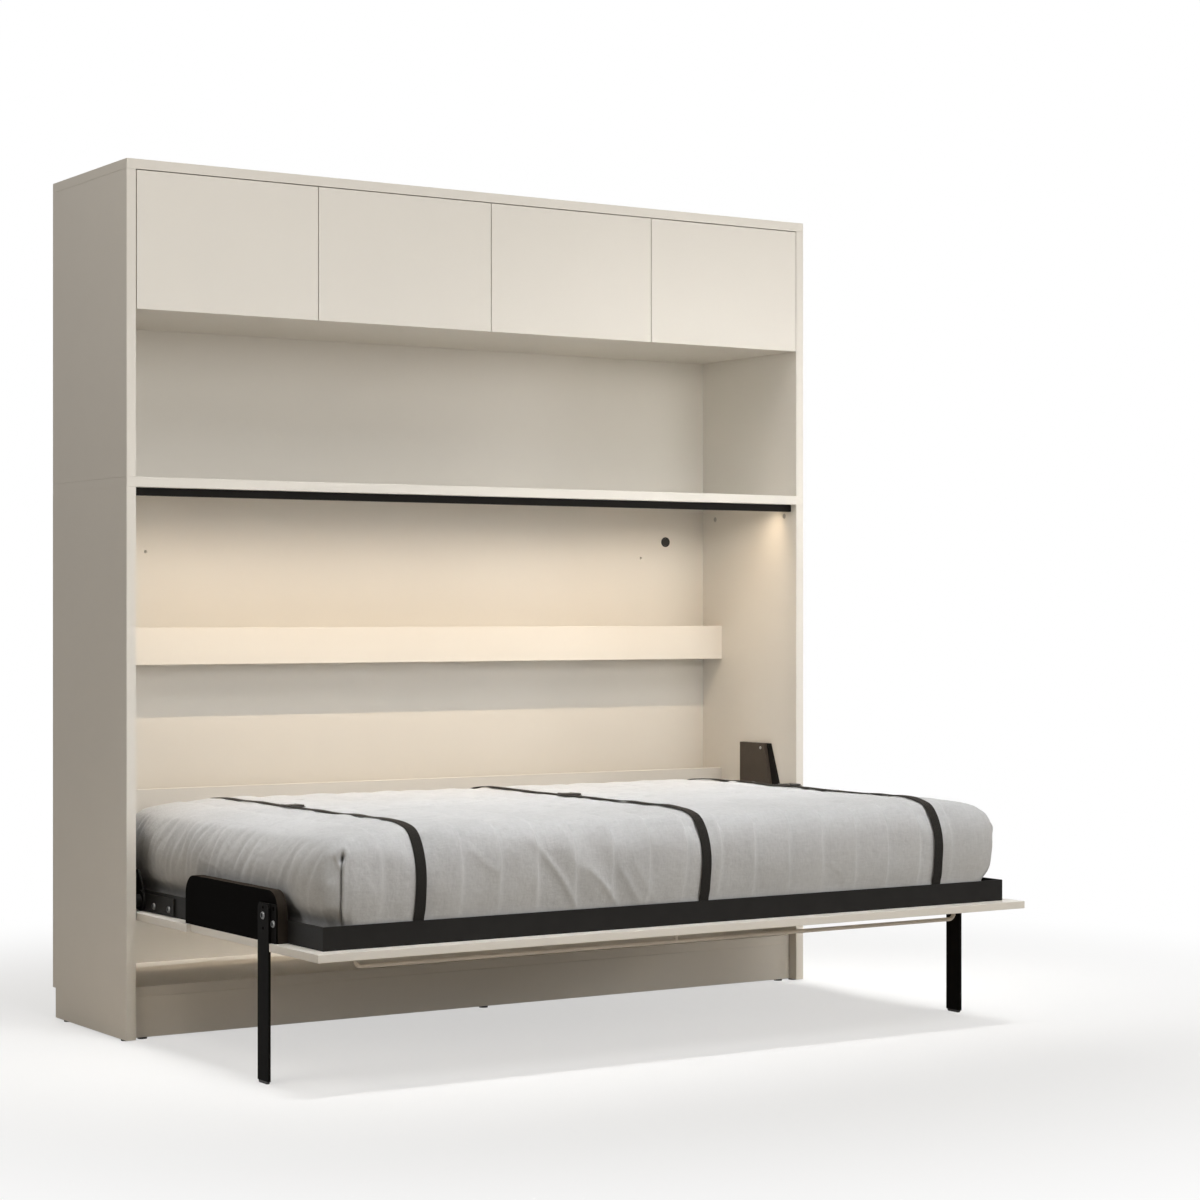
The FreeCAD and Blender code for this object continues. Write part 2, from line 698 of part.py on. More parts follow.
for side in SIDES:
    leg_x = end_x(side, "leg_offset", "leg_thickness")
    bar = outline("YZ_Plane", LEG_CORNERS, "leg_thickness", leg_x, "leg_y - leg_width / 2", "foot_height")
    bore_x = end_x(side, "leg_offset - cut_overrun", "leg_thickness + 2 * cut_overrun")
    bores = [cylinder("x", bore_x, "leg_y", z, radius, "leg_thickness + 2 * cut_overrun") for z, radius in (
        ("leg_z", "leg_bolt_radius + running_gap"),
        ("leg_z + leg_hole_above", "leg_hole_radius"),
        ("leg_z - leg_hole_below", "leg_hole_radius"))]
    keep(cut(bar, *bores), f"{side}_leg")
    keep(outline("YZ_Plane", FOOT_CORNERS, "leg_thickness", leg_x, "leg_y - leg_width / 2 + foot_inset", "0"),
         f"{side}_foot")

# Hinge arms: plates on the frame's ends that turn on the pivot pins, each with a crank for the strut
ARM_CORNERS = (
    ("0", "0"),
    ("arm_reach + arm_boss_radius", "0"),
    ("arm_reach + crank_back + crank_edge", "arm_band_low + crank_rise"),
    ("arm_reach + crank_back + crank_edge", "arm_band_low + crank_rise + crank_edge"),
    ("arm_reach + crank_back - crank_edge", "arm_band_low + crank_rise + crank_edge"),
    ("arm_reach - arm_boss_radius / 2", "arm_band_low + arm_band_high"),
    ("0", "arm_band_low + arm_band_high"),
)
arms = []
for side in SIDES:
    blade = outline("YZ_Plane", ARM_CORNERS, "arm_thickness", end_x(side, "arm_offset", "arm_thickness"),
                    "pivot_y - arm_reach", "pivot_z - arm_band_low")
    boss = cylinder("x", end_x(side, "arm_offset - arm_boss_height", "arm_boss_height"), "pivot_y", "pivot_z",
                    "arm_boss_radius", "arm_boss_height")
    stud = cylinder("x", end_x(side, "stud_offset", "arm_offset - stud_offset"), "pivot_y + crank_back",
                    "pivot_z + crank_rise", "crank_stud_radius", "arm_offset - stud_offset")
    bore = cylinder("x", end_x(side, "arm_offset - arm_boss_height - cut_overrun",
                               "arm_boss_height + arm_thickness + 2 * cut_overrun"), "pivot_y", "pivot_z",
                    "pivot_pin_radius + running_gap", "arm_boss_height + arm_thickness + 2 * cut_overrun")
    bolt_bores = [cylinder("x", end_x(side, "arm_offset - cut_overrun", "arm_thickness + 2 * cut_overrun"),
                           f"pivot_y - {reach}", "pivot_z - arm_bolt_drop", "bed_bolt_radius",
                           "arm_thickness + 2 * cut_overrun") for reach in ("arm_bolt_near", "arm_bolt_far")]
    arms += [cut(blade, bore, *bolt_bores), cut(boss, bore), stud]
keep(group(*arms), "hinge_arms")

# Bolts of the bed: two in each hinge arm, one in each bracket, and the one that each leg turns on
bolts = []


def bolt(side, face, shank, y, z, radius, head_radius, head_height):
    """A socket-headed bolt: its head stands on a face at this offset, its shank goes towards the bed"""
    stem = cylinder("x", end_x(side, face, shank), y, z, radius, shank)
    head_x = end_x(side, f"{face} - {head_height}", head_height)
    head = cylinder("x", head_x, y, z, head_radius, head_height)
    socket_x = end_x(side, f"{face} - {head_height} - cut_overrun", f"{head_height} / 2 + cut_overrun")
    socket = cylinder("x", socket_x, y, z, "bed_bolt_socket_radius", f"{head_height} / 2 + cut_overrun")
    bolts.append(cut(fuse(stem, head), socket))


for side in SIDES:
    for reach in ("arm_bolt_near", "arm_bolt_far"):
        bolt(side, "arm_offset", "arm_thickness", f"pivot_y - {reach}", "pivot_z - arm_bolt_drop",
             "bed_bolt_radius", "bed_bolt_head_radius", "bed_bolt_head_height")
    bolt(side, "bed_side_gap - guard_thickness - bracket_thickness", "bracket_thickness", "fixed_bolt_y",
         "fixed_bolt_z", "bed_bolt_radius", "bed_bolt_head_radius", "bed_bolt_head_height")
    bolt(side, "leg_offset - seat_gap", "leg_thickness + 2 * seat_gap + bracket_thickness", "leg_y", "leg_z",
         "leg_bolt_radius", "leg_bolt_head_radius", "leg_bolt_head_height")
keep(group(*bolts), "bed_bolts")

# Lift mechanism: a steel plate with the pivot pin and the strut's stud, and a box cover that stiffens it
PLATE_CORNERS = (
    ("-plate_front_low", "-plate_bottom"),
    ("-plate_front_low", "arm_boss_radius"),
    ("plate_front_top", "plate_top"),
    ("plate_rear", "plate_top"),
    ("plate_rear", "plate_rear_low"),
    ("plate_foot_rear", "-plate_bottom"),
)
COVER_CORNERS = (
    ("cover_front_low", "cover_bottom"),
    ("cover_front_top", "plate_top"),
    ("plate_rear", "plate_top"),
    ("plate_rear", "plate_rear_low"),
    ("plate_rear - (plate_rear_low - cover_bottom)", "cover_bottom"),
)
INNER_COVER_CORNERS = (
    ("cover_front_low + 2 * cover_wall", "cover_bottom + cover_wall"),
    ("cover_front_top + cover_wall", "plate_top - cover_wall"),
    ("plate_rear - cover_wall", "plate_top - cover_wall"),
    ("plate_rear - cover_wall", "plate_rear_low"),
    ("plate_rear - cover_wall - (plate_rear_low - cover_bottom)", "cover_bottom + cover_wall"),
)
plates = []
covers = []
for side in SIDES:
    plate_x = end_x(side, "0", "plate_thickness")
    plates.append(outline("YZ_Plane", PLATE_CORNERS, "plate_thickness", plate_x, "pivot_y", "pivot_z"))
    pin_length = "bed_side_gap - plate_thickness - seat_gap"
    pin = cylinder("x", end_x(side, "plate_thickness", pin_length), "pivot_y", "pivot_z",
                   "pivot_pin_radius", pin_length)
    collar_length = "arm_offset - arm_boss_height - seat_gap - plate_thickness"
    collar = cylinder("x", end_x(side, "plate_thickness", collar_length), "pivot_y", "pivot_z",
                      "pivot_pin_radius * 2", collar_length)
    stud_length = "strut_middle + strut_eye_thickness / 2 - plate_thickness"
    stud = cylinder("x", end_x(side, "plate_thickness", stud_length), "anchor_y", "anchor_z",
                    "strut_stud_radius", stud_length)
    ear_bolt = cylinder("x", end_x(side, "plate_thickness", "bed_bolt_head_height"),
                        "pivot_y + ear_bolt_front", "pivot_z + ear_bolt_height", "bed_bolt_radius",
                        "bed_bolt_head_height")
    plates += [fuse(pin, collar), stud, ear_bolt]
    shell_x = end_x(side, "plate_thickness", "cover_depth")
    shell = outline("YZ_Plane", COVER_CORNERS, "cover_depth", shell_x, "pivot_y", "pivot_z")
    hollow_x = end_x(side, "plate_thickness - cut_overrun", "cover_depth - cover_wall + cut_overrun")
    hollow = outline("YZ_Plane", INNER_COVER_CORNERS, "cover_depth - cover_wall + cut_overrun", hollow_x,
                     "pivot_y", "pivot_z")
    window = cylinder("x", end_x(side, "plate_thickness", "cover_depth + cut_overrun"), "anchor_y",
                      "anchor_z", "strut_stud_radius + seat_gap", "cover_depth + cut_overrun")
    covers.append(cut(shell, hollow, window))
keep(group(*plates), "mechanism_plates")
keep(group(*covers), "mechanism_covers")

# Gas struts: a cylinder that swings on the plate's stud, and a rod whose eye lies beside the crank's stud
anchor = Vector(0, number("anchor_y"), number("anchor_z"))
crank = Vector(0, number("pivot_y") + number("crank_back"), number("pivot_z") + number("crank_rise"))
crank_closed = Vector(0, number("pivot_y") + number("crank_rise"), number("pivot_z") - number("crank_back"))
strut_line = crank - anchor
strut_open = strut_line.Length
strut_stroke = (crank_closed - anchor).Length - strut_open
along = Vector(strut_line).normalize()
eye_radius = number("strut_eye_radius")
cap = eye_radius + number("cylinder_wall")
tube_length = strut_open - 2 * eye_radius - number("strut_end_gap")
rod_length = strut_open - 2 * eye_radius - number("cylinder_wall") + eye_radius / 2


def disc(centre, radius):
    """A round of a strut eye's thickness about a pivot"""
    thickness = number("strut_eye_thickness")
    return Part.makeCylinder(radius, thickness, centre - Vector(thickness / 2, 0, 0), Vector(1, 0, 0))


for side in SIDES:
    direction = 1 if side == "left" else -1
    middle = Vector(direction * (number("strut_middle") - number("inner")), 0, 0)
    start = middle + anchor
    end = middle + crank
    bore_radius = number("strut_stud_radius") + number("running_gap")
    tube = Part.makeCylinder(number("cylinder_radius"), tube_length, start + along * eye_radius, along)
    inside = Part.makeCylinder(number("strut_rod_radius") + number("running_gap"),
                               tube_length - number("cylinder_wall"), start + along * cap, along)
    barrel = disc(start, eye_radius).fuse(tube).cut(disc(start, bore_radius)).cut(inside)
    solid(f"{side}_strut_cylinder", barrel.removeSplitter())
    stem = Part.makeCylinder(number("strut_rod_radius"), rod_length,
                             start + along * (cap + number("seat_gap")), along)
    rod = disc(end, eye_radius).fuse(stem).cut(disc(end, bore_radius))
    solid(f"{side}_strut_rod", rod.removeSplitter())

# Mattress: rounded rectangles stacked into a crowned form with full sides that draw in at the frame
mattress_low = number("slat_low") + number("slat_thickness")
mattress_front = number("frame_front") + number("frame_wall") + number("mattress_front_gap")
mattress_y = mattress_front + number("mattress_width") / 2
mattress_half = number("mattress_length") / 2


def rounded_loop(half_x, half_y, radius, centre_y, z):
    """A rectangle with quarter-round corners"""
    edges = []
    corners = [(half_x, half_y, 0), (-half_x, half_y, 90), (-half_x, -half_y, 180), (half_x, -half_y, 270)]
    ends = []
    for x, y, turn in corners:
        centre = Vector(x - math.copysign(radius, x), centre_y + y - math.copysign(radius, y), z)
        circle = Part.Circle(centre, Vector(0, 0, 1), radius)
        arc = Part.Arc(circle, math.radians(turn), math.radians(turn + 90))
        ends.append((arc.StartPoint, arc.EndPoint))
        edges.append(arc.toShape())
    lines = []
    for index in range(len(ends)):
        following = ends[(index + 1) % len(ends)][0]
        lines.append(Part.LineSegment(ends[index][1], following).toShape())
    ordered = [edge for pair in zip(edges, lines) for edge in pair]
    return Part.Wire(ordered)


loops = []
for rise, swell in zip(MATTRESS_RISE_SHARES, MATTRESS_SWELL_SHARES):
    growth = swell * number("mattress_bulge")
    loops.append(rounded_loop(mattress_half + growth, number("mattress_width") / 2 + growth,
                              number("mattress_corner") + growth / 4, mattress_y,
                              mattress_low + rise * number("mattress_height")))
mattress = Part.makeLoft(loops, True, True)
solid("mattress", mattress)

# Straps: webbing drawn over the mattress, front to back, and tucked into the frame at both ends
strap_half = number("strap_width") / 2
strap_centres = (number("strap_left_in") - mattress_half, number("strap_middle_aside"),
                 mattress_half - number("strap_right_in"))
strap_floor = number("frame_top") - number("strap_tuck")
bands = []
buckles = []
for centre_x in strap_centres:
    corners = [vertex.Point for vertex in mattress.slice(Vector(1, 0, 0), centre_x)[0].OrderedVertexes]
    section = Part.makePolygon(corners + corners[:1])
    inner_face = Part.Face(section.makeOffset2D(number("seat_gap")))
    outer_face = Part.Face(section.makeOffset2D(number("seat_gap") + number("strap_thickness")))
    band = outer_face.cut(inner_face).Faces[0].extrude(Vector(number("strap_width"), 0, 0))
    band.translate(Vector(-strap_half, 0, 0))
    limits = band.BoundBox
    below = Part.makeBox(limits.XLength * 2, limits.YLength * 2, limits.ZLength,
                         Vector(centre_x - limits.XLength, mattress_y - limits.YLength,
                                strap_floor - limits.ZLength))
    bands.append(band.cut(below))
    buckle_y = mattress_y + number("buckle_behind")
    buckle_room = Part.makeBox(limits.XLength * 2, number("strap_width"), limits.ZLength * 2,
                               Vector(centre_x - limits.XLength, buckle_y, strap_floor))
    top_z = bands[-1].common(buckle_room).BoundBox.ZMax
    plate = Part.makeBox(number("buckle_width"), number("buckle_length"), number("buckle_thickness"),
                         Vector(centre_x - number("buckle_width") / 2,
                                buckle_y - number("buckle_length") / 2, top_z + number("seat_gap")))
    plate = plate.makeFillet(number("buckle_thickness") / 2, [edge for edge in plate.Edges
                             if edge.BoundBox.ZLength > number("buckle_thickness") / 2])
    window_length = number("buckle_window")
    for sign in (-1, 1):
        window = Part.makeBox(strap_half * 2, window_length, number("buckle_thickness") * 2,
                              Vector(centre_x - strap_half,
                                     buckle_y + sign * window_length - window_length / 2, top_z))
        plate = plate.cut(window)
    buckles.append(plate)
solid("straps", Part.makeCompound(bands))
solid("strap_buckles", Part.makeCompound(buckles))

# Pull rail: a round bar with bent ends and a middle post under the face panel, to draw the bed down by
FOOT_Z = "panel_low - pull_foot_height"
pieces = [cylinder("x", "-pull_half + pull_bend", "pull_y", "pull_z", "pull_radius",
                   "2 * (pull_half - pull_bend)"),
          cylinder("z", "0", "pull_y", "pull_z", "pull_radius", "pull_drop"),
          cylinder("z", "0", "pull_y", FOOT_Z, "pull_foot_radius", "pull_foot_height")]
for sign, turn in (("-", 90), ("", 0)):
    pieces.append(cylinder("z", f"{sign}pull_half", "pull_y", "pull_z + pull_bend", "pull_radius",
                           "pull_drop - pull_bend"))
    pieces.append(cylinder("z", f"{sign}pull_half", "pull_y", FOOT_Z, "pull_foot_radius",
                           "pull_foot_height"))
    bend = doc.addObject("Part::Torus", "Bend")
    bend.Placement = Placement(Vector(), Rotation(Vector(1, 0, 0), -90) * Rotation(Vector(0, 0, 1), turn))
    bend.Angle3 = 90
    bind(bend, Radius1="pull_bend", Radius2="pull_radius")
    place(bend, f"{sign}(pull_half - pull_bend)", "pull_y", "pull_z + pull_bend")
    pieces.append(bend)
keep(fuse(*pieces), "pull_rail")

# Every object is computed and every sub-part is a valid solid before anything is written
doc.recompute()
for item in doc.Objects:
    if "Invalid" in item.State or "Error" in item.State:
        raise RuntimeError(f"{item.Label} failed: {item.State}")
for item in subparts:
    if item.Shape.isNull() or not item.Shape.isValid() or not item.Shape.Solids:
        raise RuntimeError(f"{item.Label} has no valid solid")

os.makedirs("parts", exist_ok=True)
for item in subparts:
    item.Shape.exportStep(f"parts/{item.Label}.step")
print(len(subparts), "sub-parts, strut", round(strut_open, 2), "stroke", round(strut_stroke, 2))
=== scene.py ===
import math

import bmesh
import bpy
import numpy as np
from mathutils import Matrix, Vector
from mathutils.bvhtree import BVHTree


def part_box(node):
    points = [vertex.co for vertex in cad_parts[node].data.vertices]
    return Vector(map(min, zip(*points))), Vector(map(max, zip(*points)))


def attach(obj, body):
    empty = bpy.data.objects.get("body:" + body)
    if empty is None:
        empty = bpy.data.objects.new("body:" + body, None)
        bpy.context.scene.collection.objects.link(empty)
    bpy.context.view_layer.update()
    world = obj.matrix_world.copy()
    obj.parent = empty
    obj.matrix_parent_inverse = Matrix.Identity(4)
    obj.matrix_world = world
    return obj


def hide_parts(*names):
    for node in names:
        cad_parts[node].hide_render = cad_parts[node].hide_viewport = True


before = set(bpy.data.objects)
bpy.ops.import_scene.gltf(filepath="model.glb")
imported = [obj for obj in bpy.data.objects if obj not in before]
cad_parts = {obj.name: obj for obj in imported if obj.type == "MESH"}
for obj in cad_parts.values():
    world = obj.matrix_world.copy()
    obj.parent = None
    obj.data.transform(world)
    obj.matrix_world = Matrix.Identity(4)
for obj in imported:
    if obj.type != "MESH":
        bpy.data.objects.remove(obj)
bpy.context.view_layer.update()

# Studio: a pale floor that runs out of sight, a soft even surround and broad soft lamps round it.
# The camera stands where the photograph was taken from, level, just over a metre above the floor.
CAMERA_PLACE = (-3.7292, -6.0627, 1.0713)
CAMERA_TURN = math.radians(32.873)
LENS, SENSOR_WIDTH, SIGHT = 81.35, 36, 100
HORIZON_PIXELS_BELOW_MIDDLE = 12.5
IMAGE_PIXELS = 1200
FLOOR_WIDTH = 60
FLOOR_SEEN = (0.95, 0.95, 0.95)
FLOOR_BOUNCE = (0.58, 0.50, 0.39)
SHADOW_REACH = (1.2, 3.0)
SHADOW_VEIL = 0.55
SURROUND_STRENGTH = 0.125
SURROUND_COLOUR = (1, 0.90, 0.77, 1)
WATCHING_RAYS = ("Is Camera Ray", "Is Glossy Ray", "Is Transmission Ray")


def added(name, data):
    """A new object in the scene"""
    made = bpy.data.objects.new(name, data)
    bpy.context.scene.collection.objects.link(made)
    return made


camera_data = bpy.data.cameras.new("camera")
camera_data.lens = LENS
camera_data.sensor_width = SENSOR_WIDTH
camera_data.shift_y = HORIZON_PIXELS_BELOW_MIDDLE / IMAGE_PIXELS
camera_data.clip_end = SIGHT
camera = added("camera", camera_data)
camera.location = CAMERA_PLACE
camera.rotation_euler = (math.radians(90), 0, -CAMERA_TURN)
bpy.context.scene.camera = camera
bpy.context.scene.view_settings.view_transform = "Standard"


class Signal:
    """A value inside a material; sums and products of signals become Math nodes"""

    def __init__(self, finish, socket):
        self.finish = finish
        self.socket = socket

    def maths(self, operation, *values):
        return self.finish.node("Math", {"operation": operation}, dict(enumerate(values)))

    def __add__(self, other):
        return self.maths("ADD", self, other)

    def __sub__(self, other):
        return self.maths("SUBTRACT", self, other)

    def __rsub__(self, other):
        return self.maths("SUBTRACT", other, self)

    def __mul__(self, other):
        return self.maths("MULTIPLY", self, other)

    def __gt__(self, other):
        return self.maths("GREATER_THAN", self, other)

    def __abs__(self):
        return self.maths("ABSOLUTE", self)

    def wave(self, period):
        """From 0 to 1 and back once in each period"""
        return self.maths("SINE", self * (math.tau / period)) * 0.5 + 0.5

    def between(self, low, high):
        """0 below low, 1 above high, smooth between"""
        return self.finish.node("MapRange", {"interpolation_type": "SMOOTHSTEP"},
                                {"Value": self, "From Min": low, "From Max": high})


class Finish:
    """A material: numbers that hold all over go on the shader, what varies is fed to it"""

    def __init__(self, name, **even):
        self.material = bpy.data.materials.new(name)
        self.material.use_nodes = True
        self.tree = self.material.node_tree
        self.shader = self.tree.nodes["Principled BSDF"]
        for socket, value in even.items():
            self.put(value, self.shader.inputs[socket.replace("_", " ")])

    def put(self, value, socket):
        if isinstance(value, Signal):
            self.tree.links.new(value.socket, socket)
        elif socket.type == "RGBA" and len(value) == 3:
            socket.default_value = (*value, 1)
        else:
            socket.default_value = value

    def node(self, kind, settings=None, values=None, output=0):
        made = self.tree.nodes.new("ShaderNode" + kind)
        for name, value in (settings or {}).items():
            setattr(made, name, value)
        for name, value in (values or {}).items():
            self.put(value, made.inputs[name])
        return Signal(self, made.outputs[output])

    def feed(self, **varying):
        for socket, value in varying.items():
            self.put(value, self.shader.inputs[socket.replace("_", " ")])
        return self

    def place(self):
        """The point on the piece, in metres"""
        return self.node("TexCoord", output="Object")

    def part(self, axis):
        return self.node("SeparateXYZ", values={"Vector": self.place()}, output=axis)

    def facing(self, axis):
        """How far the surface faces along an axis, from -1 to 1"""
        normal = self.node("NewGeometry", output="Normal")
        return self.node("SeparateXYZ", values={"Vector": normal}, output=axis)

    def grain(self, scale, detail=3, squeeze=None, roughness=0.5):
        """Even noise from 0 to 1, with about scale blots to a metre, squeezed along the axes"""
        where = self.place()
        if squeeze:
            where = self.node("VectorMath", {"operation": "MULTIPLY"}, {0: where, 1: squeeze})
        return self.node("TexNoise", values={"Vector": where, "Scale": scale, "Detail": detail,
                                                       "Roughness": roughness})

    def blend(self, amount, first, second):
        """From the first colour at 0 to the second at 1"""
        return self.node("Mix", {"data_type": "RGBA"}, {0: amount, 6: first, 7: second}, output=2)

    def relief(self, height, depth, under=None):
        """The normal of a surface raised by height times depth, in metres"""
        values = {"Height": height, "Distance": depth, "Strength": 1}
        if under:
            values["Normal"] = under
        return self.node("Bump", values=values)

    def mottle(self, blots, dark, light, polish, bumps, detail=3):
        """Varies the face: blots from dark to light, a polish whose grain has a scale, a spread and a least
        roughness, and bumps with a scale and a depth"""
        cloud = blots if isinstance(blots, Signal) else self.grain(blots)
        scale, spread, least = polish
        return self.feed(Base_Color=self.blend(cloud, dark, light),
                         Roughness=self.grain(scale) * spread + least,
                         Normal=self.relief(self.grain(bumps[0], detail), bumps[1]))


floor_mesh = bpy.data.meshes.new("floor")
corners = [(x * FLOOR_WIDTH / 2, y * FLOOR_WIDTH / 2, 0) for x, y in ((-1, -1), (1, -1), (1, 1), (-1, 1))]
floor_mesh.from_pydata(corners, [], [(0, 1, 2, 3)])
floor = added("floor", floor_mesh)
paper = Finish("pale_floor", Specular_IOR_Level=0.1)
direct, mirrored, through = (paper.node("LightPath", output=kind) for kind in WATCHING_RAYS)
watched = (direct + mirrored + through) > 0.5
paper.feed(Base_Color=paper.blend(watched, FLOOR_BOUNCE, FLOOR_SEEN), Roughness=paper.grain(3) * 0.1 + 0.85)
reach = paper.node("VectorMath", {"operation": "LENGTH"}, {0: paper.place()}, output="Value")
glow = paper.node("Emission", values={"Color": (1, 1, 1), "Strength": 1})
veil = reach.between(*SHADOW_REACH) * (1 - SHADOW_VEIL) + SHADOW_VEIL
mixed = paper.node("MixShader", values={0: veil * watched,
                                                  1: Signal(paper, paper.shader.outputs[0]), 2: glow})
paper.put(mixed, paper.tree.nodes["Material Output"].inputs["Surface"])
floor_mesh.materials.append(paper.material)

surround = bpy.data.worlds.new("surround")
bpy.context.scene.world = surround
surround.use_nodes = True
sky_nodes = surround.node_tree
sky = sky_nodes.nodes["Background"]
sky.inputs["Strength"].default_value = SURROUND_STRENGTH
sky.inputs["Color"].default_value = SURROUND_COLOUR
white = sky_nodes.nodes.new("ShaderNodeBackground")
white.inputs["Color"].default_value = (1, 1, 1, 1)
ray = sky_nodes.nodes.new("ShaderNodeLightPath")
either = sky.outputs[0]
for kind in WATCHING_RAYS:
    choice = sky_nodes.nodes.new("ShaderNodeMixShader")
    sky_nodes.links.new(ray.outputs[kind], choice.inputs[0])
    sky_nodes.links.new(either, choice.inputs[1])
    sky_nodes.links.new(white.outputs[0], choice.inputs[2])
    either = choice.outputs[0]
sky_nodes.links.new(either, sky_nodes.nodes["World Output"].inputs["Surface"])


def lamp(name, place, target, width, height, watts, colour, spread=180):
    """A rectangular lamp that shines from its place towards a target, with a spread in degrees"""
    data = bpy.data.lights.new(name, "AREA")
    data.shape = "RECTANGLE"
    data.size, data.size_y = width, height
    data.energy, data.color = watts, colour
    data.spread = math.radians(spread)
    made = added(name, data)
    made.location = place
    made.rotation_euler = (Vector(target) - Vector(place)).to_track_quat("-Z", "Y").to_euler()


lamp("front_lamp", (0.2, -3.2, 4.4), (0, 0.2, 1.4), 3.0, 1.6, 53.5, (1, 0.995, 0.985))
lamp("far_lamp", (1.8, -6.6, 2.4), (0, 0, 1.2), 3.0, 3.0, 118, (1, 0.995, 0.98))
lamp("right_lamp", (5.2, -3.3, 1.9), (0, -0.5, 0.7), 1.2, 1.2, 38, (1, 0.995, 0.98))
lamp("left_lamp", (-2.9, -1.0, 3.9), (0, 0.2, 2.0), 1.6, 1.6, 33, (1, 0.95, 0.875))
lamp("bed_lamp", (0.3, -1.2, 4.6), (0.2, -0.08, 0.5), 3.2, 0.3, 12.8, (1, 1, 1), spread=34)
lamp("niche_lamp", (-1.2, -2.6, 1.9), (1.0, 0.5, 1.5), 0.6, 0.6, 0.9, (1, 0.96, 0.89), spread=30)
lamp("end_lamp", (-2.3, -0.55, 1.1), (-0.97, -0.35, 0.50), 0.7, 0.5, 0.32, (1, 0.99, 0.975), spread=45)
lamp("back_lamp", (1.4, 6.0, 3.0), (0, 0.7, 1.1), 3.0, 2.0, 125, (1, 0.985, 0.96))

# Carcass: chipboard boards faced with warm white melamine, their front edges banded in the same colour.
# The lower and upper side panels and the boards between them are drawn together by cams and screws.
BOARD_WHITE = (0.735, 0.705, 0.650)


def tint(colour, amount):
    """A colour made lighter or darker, kept under white"""
    return tuple(min(1, part * amount) for part in colour)


def melamine(name, level, clouds, flecks, tints, polish, bumps):
    """A board's white face, softly clouded and finely flecked"""
    face = Finish(name, Specular_IOR_Level=level)
    fleck = face.grain(clouds, detail=4) * 0.6 + face.grain(flecks, detail=2) * 0.4
    return face.mottle(fleck, *[tint(BOARD_WHITE, amount) for amount in tints], polish, bumps, detail=2)


board = melamine("warm_white_board", 0.40, 7, 900, (0.965, 1.03), (40, 0.10, 0.37), (1400, 0.000012))
WELD_DISTANCE = 0.00001
EASED_ANGLE = math.radians(35)
CARCASS_EDGE = 0.0007


def dress(names, finish, edge=None):
    """Gives carried pieces their finish and, where an edge radius is given, softens their edges by it"""
    for name in names:
        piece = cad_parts[name]
        piece.data.materials.clear()
        piece.data.materials.append(finish.material)
        if edge:
            piece.modifiers.new("weld", "WELD").merge_threshold = WELD_DISTANCE
            bevel = piece.modifiers.new("edge", "BEVEL")
            bevel.width, bevel.segments = edge, 2
            bevel.limit_method, bevel.angle_limit = "ANGLE", EASED_ANGLE
            piece.modifiers.new("normals", "WEIGHTED_NORMAL").weight = 100


dress(("left_lower_side", "right_lower_side", "left_upper_side", "right_upper_side", "middle_board",
       "top_board", "overhead_floor", "overhead_partition"), board, edge=CARCASS_EDGE)
dress(("bottom_board", "kick_board"), board, edge=CARCASS_EDGE * 2)

# Back panels and wall rail: thinner boards of the same stock that close the niches behind and take the
# screws into the wall. Round bores for the light switch and the wall screws go through them.
dress(("upper_back_panel", "lower_back_panel", "wall_rail"), board)

# Ledges: two narrow shelves with a high lip in front, so that nothing slides off when the bed moves.
# Both are cut from the same melamine-faced board and screwed through the back panel.
dress(("ledge_shelves", "ledge_lips"), board, edge=CARCASS_EDGE)

# Cam fasteners: die-cast zinc cams let into the side panels, flush with the face that shows.
# A screwdriver's cross slot turns each cam and draws the middle board's bolts tight.
CAM_CROSS_HALF_LENGTH = 0.0042
CAM_CROSS_HALF_WIDTH = 0.0010
CAM_SLOT_DEPTH = 0.0022
CAM_EASING = 0.0005
CAM_GROOVE = (0.80, 0.77, 0.74)
CAM_GROOVE_DEPTH = 0.0004


def solids(node):
    """The boxes of the separate solids that a carried node holds, each as its two corners"""
    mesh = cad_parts[node].data
    places = np.array([point.co for point in mesh.vertices])
    first_at = {}
    leader = [first_at.setdefault(tuple(np.round(place, 6)), number) for number, place in enumerate(places)]

    def head(number):
        while leader[number] != number:
            number = leader[number]
        return number

    for line in mesh.edges:
        one, other = (head(number) for number in line.vertices)
        leader[max(one, other)] = min(one, other)
    groups = {}
    for number, place in enumerate(places):
        groups.setdefault(head(number), []).append(place)
    return [(np.min(group, axis=0), np.max(group, axis=0)) for group in groups.values()]


def middle_at(x, low, high):
    """The point at x in the middle of a box's other two ways"""
    return np.array([x, (low[1] + high[1]) / 2, (low[2] + high[2]) / 2])


def tube_faces(levels, sides):
    """The faces of a tube of rings that follow each other, with a cap at either end"""
    faces = [tuple(reversed(range(sides))), tuple(range((levels - 1) * sides, levels * sides))]
    for start in range(0, (levels - 1) * sides, sides):
        for side in range(sides):
            here, there = start + side, start + (side + 1) % sides
            faces.append((here, there, there + sides, here + sides))
    return faces


def turned(centre, axis, rings, sides=48):
    """A closed turned form: rings of (radius, or radius by angle, and height) along an axis"""
    along = np.array(axis, float)
    across = np.roll(along, 1)
    up = np.cross(along, across)
    angles = np.arange(sides) * math.tau / sides
    ways = np.outer(np.cos(angles), across) + np.outer(np.sin(angles), up)
    points = []
    for radius, height in rings:
        radii = radius(angles) if callable(radius) else np.full(sides, radius)
        points.extend(centre + along * height + ways * radii[:, None])
    return points, tube_faces(len(rings), sides)


